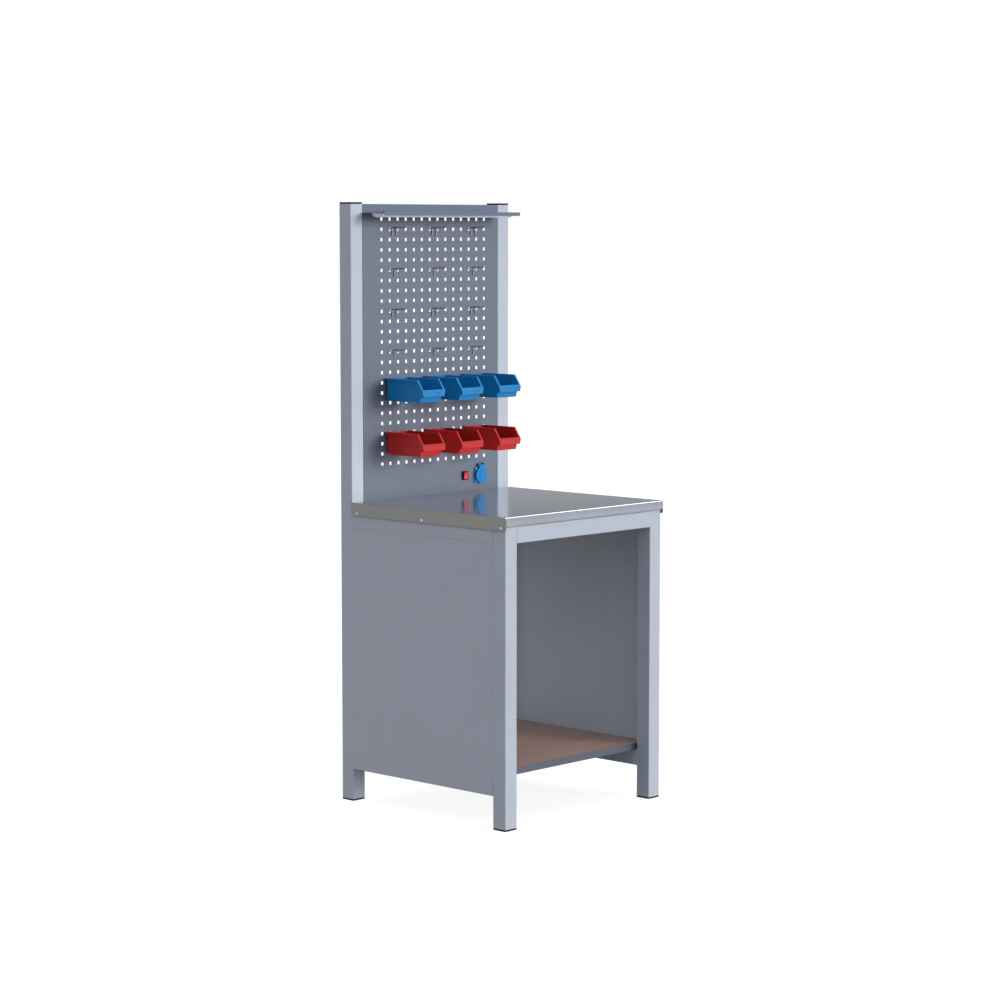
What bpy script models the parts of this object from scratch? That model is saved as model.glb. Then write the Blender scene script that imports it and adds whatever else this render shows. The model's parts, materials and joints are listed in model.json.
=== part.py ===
"""Workshop bench with a perforated tool panel, a lamp canopy, hooks, storage bins and a power socket.

Lengths are in metres. X runs along the front edge, Y runs from the front to the back and Z is up.
The origin is on the floor, under the middle of the bench.
"""
import math

import bmesh
import bpy
from mathutils import Matrix, Vector

# Fits and sheet
GAP = 0.0003
SHEET = 0.0015

# Welded frame of square tube
TUBE = 0.050
TUBE_WALL = 0.0015
TUBE_RADIUS = 0.0025
FRAME_WIDTH = 0.700
FRAME_DEPTH = 0.696
FRAME_HEIGHT = 0.900
BACK_RISE = 0.9105
SHELF_RAIL_BOTTOM = 0.100

# Plastic end pieces of the tubes
FOOT_HEIGHT = 0.005
CAP_HEIGHT = 0.005
PLUG_LENGTH = 0.016
PLUG_CLEARANCE = 0.0008

# Worktop
TOP_THICKNESS = 0.030
TOP_SIDE_OVERHANG = 0.005
TOP_FRONT_OVERHANG = 0.0075
NOSE_UPPER_RADIUS = 0.010
NOSE_LOWER_RADIUS = 0.0062
NOSE_HEIGHT = 0.0295
SKIRT_HEIGHT = 0.040
SKIRT_CORNER = 0.006
BOARD_SETBACK = 0.0115

# Side panels and shelf
PANEL_RETURN = 0.012
SHELF_THICKNESS = 0.0207

# Perforated panel
HOLE_SIZE = 0.010
HOLE_PITCH_X = 0.035
HOLE_PITCH_Z = 0.03145
HOLE_COLUMNS = 14
HOLE_FIELD_X = 0.0088
HOLE_LOW_ROW_RISE = 0.1099
HOLE_TOP_MARGIN = 0.015
PANEL_FLANGE = 0.020

# Canopy over the panel and the lamp below it
CANOPY_BAND = 0.024
CANOPY_DEPTH = 0.098
CANOPY_LIP = 0.0115
CANOPY_TOP_RETURN = 0.040
LAMP_WIDTH = 0.045
LAMP_LENGTH = 0.580
LAMP_SETBACK = 0.055
LAMP_BASE_HEIGHT = 0.0025
LAMP_DEPTH = 0.015
LENS_WALL = 0.0015
LAMP_CAP_LENGTH = 0.004
LED_STRIP_WIDTH = 0.012
LED_STRIP_HEIGHT = 0.0016

# Wire hooks
HOOK_LEVELS = 4
HOOK_FIRST_ROW = 1
HOOK_COLUMNS = (1, 6, 11)
HOOK_WIRE_RADIUS = 0.0019
HOOK_BAR_RADIUS = 0.0021
HOOK_LEG = 0.0185
HOOK_PRONG_RISE = 0.0053
HOOK_REACH_SINGLE = 0.050
HOOK_REACH_DOUBLE = 0.046
HOOK_TIP = 0.0055
HOOK_TIP_ANGLE = math.radians(50)
HOOK_SLOPE = math.radians(1)
HOOK_PRONG_SPACING = 0.0179
HOOK_TAIL = 0.011
HOOK_BEND = 0.0045

# Storage bins
BIN_LENGTH = 0.1683
BIN_WIDTH = 0.0985
BIN_HEIGHT = 0.070
BIN_WALL = 0.0018
BIN_PITCH = 0.1705
BIN_RIM_WIDTH = 0.0053
BIN_RIM_HEIGHT = 0.0066
BIN_REAR_OVERHANG = 0.0082
BIN_FRONT_FOOT = 0.0171
BIN_FRONT_STEP = 0.0055
BIN_STEP_HEIGHT = 0.0177
BIN_LIP_HEIGHT = 0.0160
BIN_SLOPE_RUN = 0.0245
BIN_LIP_TAPER = 0.0037
BIN_HOOK_DROP = 0.0036
BIN_RIB = 0.0009
BIN_RIB_WIDTH = 0.0030
BIN_RIB_COUNT = 3
BIN_RISE_UPPER = 0.0140
BIN_RISE_LOWER = 0.0362

# Brackets that carry the bins
HANGER_STEPS_UPPER = 8
HANGER_STEPS_LOWER = 2
HANGER_WIDTH = 0.050
HANGER_SHEET = 0.0015
HANGER_LEDGE_DROP = 0.0080
HANGER_TAB_WIDTH = 0.007
HANGER_TAB_TAIL = 0.009
HANGER_PLATE_BELOW = 0.010

# Power socket
SOCKET_X = 0.2150
SOCKET_RISE = 0.049
SOCKET_FLANGE = 0.050
SOCKET_FLANGE_CORNER = 0.003
SOCKET_FLANGE_THICKNESS = 0.004
SOCKET_COLLAR_RADIUS = 0.0213
SOCKET_WELL_RADIUS = 0.0195
SOCKET_WELL_DEPTH = 0.0175
SOCKET_CAN_DEPTH = 0.026
SOCKET_LID_RADIUS = 0.026
SOCKET_LID_THICKNESS = 0.0035
SOCKET_BAND_WIDTH = 0.0200
SOCKET_BAND_PROUD = 0.0008
SOCKET_PROUD = 0.0122
SOCKET_HINGE_RISE = 0.0299
SOCKET_HINGE_TOP = 0.0369
SOCKET_KNUCKLE_RADIUS = 0.0042
SOCKET_EAR = 0.0025
SOCKET_EAR_SETBACK = 0.0010
SOCKET_EAR_ROOT = 0.0050
SOCKET_PIN_RADIUS = 0.0013
SOCKET_SMALL_STEPS = 12
SOCKET_ROUND_STEPS = 24
SOCKET_CONTACT_SPACING = 0.019
SOCKET_CONTACT_RADIUS = 0.0030
SOCKET_CONTACT_BORE = 0.0022
SOCKET_CONTACT_LENGTH = 0.014
EARTH_CLIP_WIDTH = 0.004
EARTH_CLIP_SHEET = 0.001
EARTH_CLIP_REACH = 0.0185
EARTH_CLIP_LENGTH = 0.012

# Rocker switch
SWITCH_X = 0.145
SWITCH_RISE = 0.0505
SWITCH_BEZEL_WIDTH = 0.0212
SWITCH_BEZEL_HEIGHT = 0.0270
SWITCH_BEZEL_CORNER = 0.0012
SWITCH_PROUD = 0.0075
SWITCH_BODY_WIDTH = 0.0202
SWITCH_BODY_HEIGHT = 0.0260
SWITCH_BODY_DEPTH = 0.020
SWITCH_CAVITY_DEPTH = 0.0118
ROCKER_WIDTH = 0.0180
ROCKER_RADIUS = 0.0115
ROCKER_TILT = math.radians(7)
ROCKER_FRONT = 0.0036
ROCKER_BACK_ANGLE = math.radians(20)
ROCKER_PIVOT_DEPTH = 0.0038
ROCKER_CLEARANCE = 0.0004
ROCKER_STUB = 0.0008
ROCKER_STUB_RADIUS = 0.0010

# Places worked out from the sizes above
FRAME_Y = TOP_FRONT_OVERHANG / 2
FRONT_Y = FRAME_Y - FRAME_DEPTH / 2
REAR_Y = FRAME_Y + FRAME_DEPTH / 2
LEG_BACK_Y = FRONT_Y + TUBE
PANEL_Y = REAR_Y - TUBE
SIDE_X = FRAME_WIDTH / 2
BAY_X = SIDE_X - TUBE
TOP_Z = FRAME_HEIGHT + TOP_THICKNESS
UPRIGHT_TOP = TOP_Z + BACK_RISE
SKIRT_X = SIDE_X + TOP_SIDE_OVERHANG
TOP_FRONT_Y = FRONT_Y - TOP_FRONT_OVERHANG
TOP_REAR_Y = PANEL_Y - GAP
SHELF_RAIL_TOP = SHELF_RAIL_BOTTOM + TUBE
RAIL_BOTTOM = FRAME_HEIGHT - TUBE
PANEL_BACK_Y = PANEL_Y + SHEET
CANOPY_Z = UPRIGHT_TOP - CANOPY_BAND
CANOPY_UNDER_Z = CANOPY_Z - SHEET
PANEL_TOP_Z = CANOPY_UNDER_Z - GAP
PANEL_BOTTOM_Z = FRAME_HEIGHT + GAP
PANEL_X = BAY_X - GAP
LAMP_Y = PANEL_Y - LAMP_SETBACK
HOLE_LOW_Z = TOP_Z + HOLE_LOW_ROW_RISE
HOLE_ROWS = int((PANEL_TOP_Z - HOLE_TOP_MARGIN - HOLE_LOW_Z) / HOLE_PITCH_Z) + 1
HANGER_ROW_UPPER = HOLE_ROWS - 1 - HANGER_STEPS_UPPER
HANGER_ROW_LOWER = HOLE_ROWS - 1 - HANGER_STEPS_LOWER
HOOK_ROW_STEP = (HANGER_ROW_UPPER - HOOK_FIRST_ROW - HOOK_LEVELS + 1) // (HOOK_LEVELS - 1)
SOCKET_CENTRE = (SOCKET_X, TOP_Z + SOCKET_RISE)
SOCKET_FRONT = PANEL_Y - SOCKET_PROUD
SOCKET_LID_BACK = SOCKET_FRONT + SOCKET_LID_THICKNESS
SOCKET_COLLAR_FRONT = SOCKET_LID_BACK + GAP
SOCKET_WELL_END = SOCKET_COLLAR_FRONT + SOCKET_WELL_DEPTH
SOCKET_AXIS = (SOCKET_FRONT + SOCKET_KNUCKLE_RADIUS, TOP_Z + SOCKET_RISE + SOCKET_HINGE_RISE)
SOCKET_HINGE_HALF = SOCKET_BAND_WIDTH / 2 + GAP + SOCKET_EAR
SWITCH_Z = TOP_Z + SWITCH_RISE
SIDES = ("left", "middle", "right")


def hole_x(column):
    """Centre of a column of the hole field, counted from the left."""
    return HOLE_FIELD_X + (column - (HOLE_COLUMNS - 1) / 2) * HOLE_PITCH_X


def hole_z(row):
    """Centre of a row of the hole field, counted from the top."""
    return HOLE_LOW_Z + (HOLE_ROWS - 1 - row) * HOLE_PITCH_Z


# Scene and materials

def clear_scene():
    for item in list(bpy.data.objects):
        bpy.data.objects.remove(item, do_unlink=True)


def new_collection(name):
    collection = bpy.data.collections.new(name)
    bpy.context.scene.collection.children.link(collection)
    return collection


def finish(name, colour, roughness, metallic=0.0):
    material = bpy.data.materials.new(name)
    material.use_nodes = True
    shader = material.node_tree.nodes["Principled BSDF"]
    shader.inputs["Base Color"].default_value = (*colour, 1.0)
    shader.inputs["Roughness"].default_value = roughness
    shader.inputs["Metallic"].default_value = metallic
    material.diffuse_color = (*colour, 1.0)
    return material


def make_finishes():
    return {
        "frame": finish("frame_paint", (0.50, 0.55, 0.61), 0.45, 0.1),
        "panel": finish("panel_paint", (0.16, 0.19, 0.25), 0.45, 0.1),
        "steel": finish("bare_steel", (0.48, 0.48, 0.50), 0.25, 1.0),
        "dark_steel": finish("dark_steel", (0.05, 0.06, 0.07), 0.35, 0.9),
        "zinc": finish("zinc_plate", (0.62, 0.62, 0.60), 0.3, 1.0),
        "brass": finish("brass", (0.70, 0.52, 0.22), 0.3, 1.0),
        "black": finish("black_plastic", (0.02, 0.02, 0.02), 0.5),
        "wood": finish("shelf_wood", (0.24, 0.14, 0.09), 0.6),
        "core": finish("board_core", (0.45, 0.33, 0.20), 0.7),
        "blue": finish("blue_plastic", (0.02, 0.19, 0.50), 0.4),
        "red": finish("red_plastic", (0.45, 0.03, 0.03), 0.4),
        "rocker": finish("rocker_red", (0.75, 0.04, 0.05), 0.3),
        "lens": finish("opal_lens", (0.68, 0.70, 0.80), 0.35),
        "white": finish("white_paint", (0.80, 0.80, 0.80), 0.4),
    }


# Shape helpers

def place(name, bm, material, origin=(0, 0, 0), target=None):
    """Turn a bmesh in world coordinates into an object with its origin where asked."""
    centre = Vector(origin)
    bmesh.ops.translate(bm, verts=bm.verts, vec=-centre)
    mesh = bpy.data.meshes.new(name)
    bm.to_mesh(mesh)
    bm.free()
    mesh.materials.append(material)
    thing = bpy.data.objects.new(name, mesh)
    thing.location = centre
    (target or PARTS).objects.link(thing)
    return thing


def box(low, high):
    """A block between two corners."""
    low = Vector(low)
    high = Vector(high)
    bm = bmesh.new()
    bmesh.ops.create_cube(bm, size=1.0)
    bmesh.ops.scale(bm, verts=bm.verts, vec=high - low)
    bmesh.ops.translate(bm, verts=bm.verts, vec=(low + high) / 2)
    return bm


def edges_along(bm, axis):
    """Edges that run parallel to one axis."""
    found = []
    for edge in bm.edges:
        run = edge.verts[1].co - edge.verts[0].co
        if abs(abs(run[axis]) - run.length) < 1e-7:
            found.append(edge)
    return found


def round_edges(bm, edges, radius, segments=2):
    bmesh.ops.bevel(
        bm, geom=edges, offset=radius, segments=segments, profile=0.5,
        affect="EDGES", material=-1, clamp_overlap=True)
    return bm


def rounded_box(low, high, axis, radius, segments=2):
    """A block whose edges along one axis are rounded."""
    bm = box(low, high)
    return round_edges(bm, edges_along(bm, axis), radius, segments)


def facing(bm, axis, sign):
    """Faces whose normal points along one axis."""
    return [face for face in bm.faces if face.normal[axis] * sign > 0.999]


def thicken(thing, thickness):
    """Give an open surface its sheet thickness, measured inwards from its faces."""
    wall = thing.modifiers.new("sheet", "SOLIDIFY")
    wall.thickness = thickness
    wall.offset = -1.0
    wall.use_even_offset = True
    return thing


def open_box(low, high, open_sides):
    """The faces of a block without the ones named by (axis, sign)."""
    bm = box(low, high)
    gone = []
    for axis, sign in open_sides:
        gone += facing(bm, axis, sign)
    bmesh.ops.delete(bm, geom=gone, context="FACES")
    return bm


def square_tube(name, low, high, axis):
    """A length of square tube with rounded corners, open at both ends."""
    bm = rounded_box(low, high, axis, TUBE_RADIUS)
    ends = facing(bm, axis, 1) + facing(bm, axis, -1)
    bmesh.ops.delete(bm, geom=ends, context="FACES")
    return thicken(place(name, bm, FINISH["frame"]), TUBE_WALL)


def to_world(axis, along, first, second):
    """A point from its place along one axis and its two other coordinates in X, Y, Z order."""
    other = [first, second]
    other.insert(axis, along)
    return Vector(other)


def prism(outline, axis, start, end):
    """A flat outline, drawn square to an axis, carried along it from start to end."""
    bm = bmesh.new()
    corners = [bm.verts.new(to_world(axis, start, *point)) for point in outline]
    face = bm.faces.new(corners)
    grown = bmesh.ops.extrude_face_region(bm, geom=[face])
    moved = [item for item in grown["geom"] if isinstance(item, bmesh.types.BMVert)]
    bmesh.ops.translate(bm, verts=moved, vec=to_world(axis, end - start, 0, 0))
    bmesh.ops.recalc_face_normals(bm, faces=bm.faces)
    return bm


def cylinder(centre, axis, radius, start, end, sides=16):
    """A round bar along one axis; centre gives its two other coordinates."""
    bm = bmesh.new()
    bmesh.ops.create_cone(
        bm, cap_ends=True, segments=sides, radius1=radius, radius2=radius, depth=end - start)
    turn = (Matrix.Rotation(math.pi / 2, 4, "Y"), Matrix.Rotation(-math.pi / 2, 4, "X"), Matrix())
    bmesh.ops.transform(bm, matrix=turn[axis], verts=bm.verts)
    bmesh.ops.translate(bm, verts=bm.verts, vec=to_world(axis, (start + end) / 2, *centre))
    return bm


def arc(centre, radius, first, last, steps):
    """Points of an arc between two angles in degrees."""
    points = []
    for step in range(steps + 1):
        angle = math.radians(first + (last - first) * step / steps)
        points.append((centre[0] + radius * math.cos(angle), centre[1] + radius * math.sin(angle)))
    return points


def folded(path, thickness):
    """The outline of a folded sheet: a path and its copy set off to the left of the path."""
    inner = []
    count = len(path)
    for index, point in enumerate(path):
        before = Vector(path[max(index - 1, 0)])
        after = Vector(path[min(index + 1, count - 1)])
        here = Vector(point)
        runs = []
        if index > 0:
            runs.append((here - before).normalized())
        if index < count - 1:
            runs.append((after - here).normalized())
        sides = [Vector((-run.y, run.x)) for run in runs]
        mitre = sum(sides, Vector((0, 0))).normalized()
        reach = thickness / mitre.dot(sides[0])
        inner.append(tuple(here + mitre * reach))
    return list(path) + inner[::-1]


def tool(name, bm):
    """A solid that only cuts or joins others."""
    thing = place(name, bm, FINISH["black"], target=CUTTERS)
    thing.hide_render = True
    thing.display_type = "WIRE"
    return thing


def boolean(thing, other, operation):
    step = thing.modifiers.new(operation.lower(), "BOOLEAN")
    step.operation = operation
    step.solver = "EXACT"
    step.object = other
    return thing


def cut(thing, other):
    return boolean(thing, other, "DIFFERENCE")


def join(thing, other):
    return boolean(thing, other, "UNION")


def settle(thing):
    """Replace an object's modifiers by their result, and return its mesh."""
    bpy.context.view_layer.update()
    graph = bpy.context.evaluated_depsgraph_get()
    mesh = bpy.data.meshes.new_from_object(thing.evaluated_get(graph))
    thing.modifiers.clear()
    thing.data = mesh
    return mesh


def smooth(thing, angle=35):
    thing.data.shade_smooth()
    thing.data.set_sharp_from_angle(angle=math.radians(angle))
    return thing


def copy_of(name, mesh, place_at, material):
    """Another object with the same shape at another place."""
    twin = mesh.copy()
    twin.name = name
    twin.materials.clear()
    twin.materials.append(material)
    thing = bpy.data.objects.new(name, twin)
    thing.location = place_at
    PARTS.objects.link(thing)
    return thing


def bent(points, radius, steps=2):
    """A path whose corners are rounded to a radius."""
    path = [Vector(points[0])]
    for index in range(1, len(points) - 1):
        here = Vector(points[index])
        back = (Vector(points[index - 1]) - here).normalized()
        ahead = (Vector(points[index + 1]) - here).normalized()
        half = back.angle(ahead) / 2
        set_off = radius / math.tan(half)
        middle = here + (back + ahead).normalized() * radius / math.sin(half)
        start = (here + back * set_off - middle).normalized()
        end = (here + ahead * set_off - middle).normalized()
        for step in range(steps + 1):
            path.append(middle + start.slerp(end, step / steps).normalized() * radius)
    path.append(Vector(points[-1]))
    return path


def wire(points, radius, resolution):
    """A round wire along a path, as a closed mesh."""
    curve = bpy.data.curves.new("wire", "CURVE")
    curve.dimensions = "3D"
    curve.bevel_depth = radius
    curve.bevel_resolution = resolution
    curve.use_fill_caps = True
    spline = curve.splines.new("POLY")
    spline.points.add(len(points) - 1)
    for knot, point in zip(spline.points, points):
        knot.co = (*point, 1.0)
    thing = bpy.data.objects.new("wire", curve)
    CUTTERS.objects.link(thing)
    bpy.context.view_layer.update()
    graph = bpy.context.evaluated_depsgraph_get()
    mesh = bpy.data.meshes.new_from_object(thing.evaluated_get(graph))
    bpy.data.objects.remove(thing, do_unlink=True)
    bm = bmesh.new()
    bm.from_mesh(mesh)
    bpy.data.meshes.remove(mesh)
    bmesh.ops.remove_doubles(bm, verts=bm.verts, dist=0.00001)
    bmesh.ops.recalc_face_normals(bm, faces=bm.faces)
    return bm


# Frame

def tube_end(name, x, y, low, height, inwards):
    """A plate over a tube's end, with a plug that reaches inwards, up or down, into the tube."""
    plate = place(name, rounded_box(
        (x, y, low), (x + TUBE, y + TUBE, low + height), 2, TUBE_RADIUS), FINISH["black"])
    inset = TUBE_WALL + PLUG_CLEARANCE
    middle = low + height / 2
    start, end = sorted((middle, middle + inwards * (height / 2 + GAP + PLUG_LENGTH)))
    return join(plate, tool(name + "_plug", rounded_box(
        (x + inset, y + inset, start), (x + TUBE - inset, y + TUBE - inset, end), 2, TUBE_WALL)))


def make_frame():
    corners = {"left": -SIDE_X, "right": BAY_X}
    for side, x in corners.items():
        leg_low = (x, FRONT_Y, FOOT_HEIGHT + GAP)
        square_tube("front_leg_" + side, leg_low, (x + TUBE, LEG_BACK_Y, FRAME_HEIGHT), 2)
        post_low = (x, PANEL_Y, FOOT_HEIGHT + GAP)
        post_high = (x + TUBE, REAR_Y, UPRIGHT_TOP)
        square_tube("rear_upright_" + side, post_low, post_high, 2)
        tube_end("foot_front_" + side, x, FRONT_Y, 0, FOOT_HEIGHT, 1)
        tube_end("foot_rear_" + side, x, PANEL_Y, 0, FOOT_HEIGHT, 1)
        tube_end("upright_cap_" + side, x, PANEL_Y, UPRIGHT_TOP + GAP, CAP_HEIGHT, -1)
        rail_front = LEG_BACK_Y + GAP
        rail_back = PANEL_Y - GAP
        square_tube(
            "side_rail_top_" + side, (x, rail_front, RAIL_BOTTOM), (x + TUBE, rail_back, FRAME_HEIGHT), 1)
        square_tube(
            "side_rail_bottom_" + side, (x, rail_front, SHELF_RAIL_BOTTOM),
            (x + TUBE, rail_back, SHELF_RAIL_TOP), 1)
    reach = BAY_X - GAP
    square_tube("front_rail", (-reach, FRONT_Y, RAIL_BOTTOM), (reach, LEG_BACK_Y, FRAME_HEIGHT), 0)
    square_tube("rear_rail", (-reach, PANEL_Y, RAIL_BOTTOM), (reach, REAR_Y, FRAME_HEIGHT), 0)


def make_side_panels():
    """Sheets set into the side bays, folded inwards at the legs and under the top rail."""
    front = LEG_BACK_Y + GAP
    back = PANEL_Y - GAP
    low = SHELF_RAIL_TOP + GAP
    high = RAIL_BOTTOM - GAP
    outer = SIDE_X - GAP
    inner = outer - PANEL_RETURN
    left = open_box((-outer, front, low), (-inner, back, high), [(0, 1), (2, -1)])
    thicken(place("side_panel_left", left, FINISH["frame"]), SHEET)
    right = open_box((inner, front, low), (outer, back, high), [(0, -1), (2, -1)])
    thicken(place("side_panel_right", right, FINISH["frame"]), SHEET)


def make_shelf():
    """A steel tray on the bottom rails with a board laid in it."""
    half_x = SIDE_X - GAP - SHEET - GAP
    front = LEG_BACK_Y + GAP + SHEET + GAP
    back = PANEL_Y - GAP - SHEET - GAP
    low = SHELF_RAIL_TOP + GAP
    high = SHELF_RAIL_TOP + SHELF_THICKNESS
    tray = open_box((-half_x, front, low), (half_x, back, high), [(2, 1)])
    thicken(place("shelf_tray", tray, FINISH["panel"]), SHEET)
    inset = SHEET + GAP
    board = box((inset - half_x, front + inset, low + inset), (half_x - inset, back - inset, high - GAP))
    place("shelf_board", board, FINISH["wood"])


# Worktop

def make_worktop():
    low = FRAME_HEIGHT + GAP
    inset = SHEET + GAP
    half_x = SKIRT_X - inset
    board_front = TOP_FRONT_Y + BOARD_SETBACK
    board = box((-half_x, board_front, low), (half_x, TOP_REAR_Y, TOP_Z - inset))
    place("worktop_board", board, FINISH["core"])

    upper = (TOP_FRONT_Y + NOSE_UPPER_RADIUS, TOP_Z - NOSE_UPPER_RADIUS)
    nose_bottom = TOP_Z - NOSE_HEIGHT
    lower = (TOP_FRONT_Y + NOSE_LOWER_RADIUS, nose_bottom + NOSE_LOWER_RADIUS)
    path = [(TOP_REAR_Y, TOP_Z)]
    path += arc(upper, NOSE_UPPER_RADIUS, 90, 180, 5)
    path += arc(lower, NOSE_LOWER_RADIUS, 180, 262, 4)
    half_cover = SKIRT_X - SHEET / 2
    cover = place("worktop_cover", prism(folded(path, SHEET), 0, -half_cover, half_cover), FINISH["steel"])

    skirt_low = TOP_Z - SKIRT_HEIGHT
    skirt_front = TOP_FRONT_Y + SHEET / 2
    rear_corner = (TOP_REAR_Y - SKIRT_CORNER, skirt_low + SKIRT_CORNER)
    front_corner = (skirt_front + SKIRT_CORNER, skirt_low + SKIRT_CORNER)
    top_corner = (skirt_front + NOSE_UPPER_RADIUS, TOP_Z - NOSE_UPPER_RADIUS)
    outline = [(TOP_REAR_Y, TOP_Z)]
    outline += arc(top_corner, NOSE_UPPER_RADIUS, 90, 180, 5)
    outline += arc(front_corner, SKIRT_CORNER, 180, 270, 4)
    outline += arc(rear_corner, SKIRT_CORNER, 270, 360, 4)
    for side, sign in (("left", -1), ("right", 1)):
        start, end = sorted((sign * SKIRT_X, sign * (SKIRT_X - SHEET)))
        join(cover, tool("skirt_" + side, prism(outline, 0, start, end)))


# Perforated panel

def grid_lines():
    """Positions of the edges of the panel and of every hole, along X and along Z."""
    lines_x = [-PANEL_X]
    for column in range(HOLE_COLUMNS):
        lines_x += [hole_x(column) - HOLE_SIZE / 2, hole_x(column) + HOLE_SIZE / 2]
    lines_x.append(PANEL_X)
    lines_z = [PANEL_BOTTOM_Z]
    for row in reversed(range(HOLE_ROWS)):
        lines_z += [hole_z(row) - HOLE_SIZE / 2, hole_z(row) + HOLE_SIZE / 2]
    lines_z.append(PANEL_TOP_Z)
    return lines_x, lines_z


def make_perforated_panel():
    lines_x, lines_z = grid_lines()
    cells_x = len(lines_x) - 1
    cells_z = len(lines_z) - 1
    bm = bmesh.new()
    bmesh.ops.create_grid(bm, x_segments=cells_x, y_segments=cells_z, size=1.0)
    holes = []
    for face in bm.faces:
        middle = face.calc_center_median()
        column = int((middle.x + 1) / 2 * cells_x)
        row = int((middle.y + 1) / 2 * cells_z)
        if column % 2 == 1 and row % 2 == 1:
            holes.append(face)
    for vert in bm.verts:
        column = round((vert.co.x + 1) / 2 * cells_x)
        row = round((vert.co.y + 1) / 2 * cells_z)
        vert.co = (lines_x[column], PANEL_Y, lines_z[row])
    bmesh.ops.delete(bm, geom=holes, context="FACES")
    for end in (-PANEL_X, PANEL_X):
        fold_back(bm, end)
    bmesh.ops.recalc_face_normals(bm, faces=bm.faces)
    front = max(bm.faces, key=lambda item: item.calc_area() * abs(item.normal.y))
    if front.normal.y > 0:
        bmesh.ops.reverse_faces(bm, faces=bm.faces)
    panel = thicken(place("perforated_panel", bm, FINISH["panel"]), SHEET)

    can = SOCKET_COLLAR_RADIUS + 2 * GAP
    cut(panel, tool("socket_cutout", cylinder(
        SOCKET_CENTRE, 1, can, PANEL_Y - SHEET, PANEL_BACK_Y + SHEET, SOCKET_ROUND_STEPS)))
    half = Vector((SWITCH_BODY_WIDTH / 2 + GAP, SHEET, SWITCH_BODY_HEIGHT / 2 + GAP))
    middle = Vector((SWITCH_X, PANEL_Y + SHEET / 2, SWITCH_Z))
    cut(panel, tool("switch_cutout", box(middle - half, middle + half)))


def fold_back(bm, x):
    """Fold the panel's side edge back into a flange."""
    edges = []
    for edge in bm.edges:
        if len(edge.link_faces) == 1 and all(abs(vert.co.x - x) < 1e-6 for vert in edge.verts):
            edges.append(edge)
    grown = bmesh.ops.extrude_edge_only(bm, edges=edges)
    moved = [item for item in grown["geom"] if isinstance(item, bmesh.types.BMVert)]
    bmesh.ops.translate(bm, verts=moved, vec=(0, PANEL_FLANGE, 0))


# Canopy and lamp

def make_canopy():
    path = [
        (PANEL_Y + CANOPY_TOP_RETURN, UPRIGHT_TOP),
        (PANEL_Y, UPRIGHT_TOP),
        (PANEL_Y, CANOPY_Z),
        (PANEL_Y - CANOPY_DEPTH, CANOPY_Z),
        (PANEL_Y - CANOPY_DEPTH, CANOPY_Z - CANOPY_LIP),
    ]
    place("canopy", prism(folded(path, SHEET), 0, -PANEL_X, PANEL_X), FINISH["panel"])


def lens_path(half_width, depth, top, steps=10):
    """Half an ellipse below the lamp's base, from front to back."""
    points = []
    for step in range(steps + 1):
        angle = math.pi * step / steps
        points.append((LAMP_Y - half_width * math.cos(angle), top - depth * math.sin(angle)))
    return points


def make_lamp():
    base_top = CANOPY_UNDER_Z - GAP
    base_low = base_top - LAMP_BASE_HEIGHT
    lens_top = base_low - GAP
    half = LAMP_WIDTH / 2
    body = LAMP_LENGTH / 2 - LAMP_CAP_LENGTH - GAP
    spine = LAMP_LENGTH / 2 - LAMP_CAP_LENGTH / 2
    housing = place("lamp_housing", box(
        (-spine, LAMP_Y - half, base_low), (spine, LAMP_Y + half, base_top)), FINISH["white"])
    strip = LED_STRIP_WIDTH / 2
    place("lamp_led_strip", box(
        (SHEET - body, LAMP_Y - strip, lens_top - LED_STRIP_HEIGHT),
        (body - SHEET, LAMP_Y + strip, lens_top)), FINISH["white"])
    depth = LAMP_DEPTH - LAMP_BASE_HEIGHT - GAP
    shell = lens_path(half, depth, lens_top) + lens_path(half - LENS_WALL, depth - LENS_WALL, lens_top)[::-1]
    smooth(place("lamp_lens", prism(shell, 0, -body, body), FINISH["lens"]))
    end = [(LAMP_Y + half, base_top), (LAMP_Y - half, base_top)] + lens_path(half, depth, lens_top)
    length = LAMP_LENGTH / 2
    join(housing, tool("lamp_end_left", prism(end, 0, -length, LAMP_CAP_LENGTH - length)))
    join(housing, tool("lamp_end_right", prism(end, 0, length - LAMP_CAP_LENGTH, length)))


# Hooks

def hook_mesh(prongs, reach):
    """One hook about the middle of its two holes: a bar with hooked ends and one or two prongs."""
    bar_y = -GAP - HOOK_BAR_RADIUS
    tail_y = SHEET + GAP + HOOK_BAR_RADIUS
    end_x = HOLE_PITCH_X / 2
    corners = [
        (-end_x, tail_y, HOOK_TAIL), (-end_x, tail_y, 0), (-end_x, bar_y, 0),
        (end_x, bar_y, 0), (end_x, tail_y, 0), (end_x, tail_y, HOOK_TAIL),
    ]
    tight = (tail_y - bar_y) / 2 - GAP
    whole = tool("hook_bar", wire(bent(corners, tight, 2), HOOK_BAR_RADIUS, 1))
    leg_y = -GAP - HOOK_WIRE_RADIUS
    tip_rise = HOOK_TIP * math.sin(HOOK_TIP_ANGLE)
    tip_run = HOOK_TIP * math.cos(HOOK_TIP_ANGLE)
    knee = tip_run - reach
    knee_z = HOOK_PRONG_RISE + (leg_y - knee) * math.tan(HOOK_SLOPE)
    for index in range(prongs):
        x = (index - (prongs - 1) / 2) * HOOK_PRONG_SPACING
        path = [
            (x, leg_y, -HOOK_LEG), (x, leg_y, HOOK_PRONG_RISE),
            (x, knee, knee_z), (x, -reach, knee_z + tip_rise),
        ]
        join(whole, tool("hook_prong", wire(bent(path, HOOK_BEND, 1), HOOK_WIRE_RADIUS, 1)))
    return settle(whole)


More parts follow.
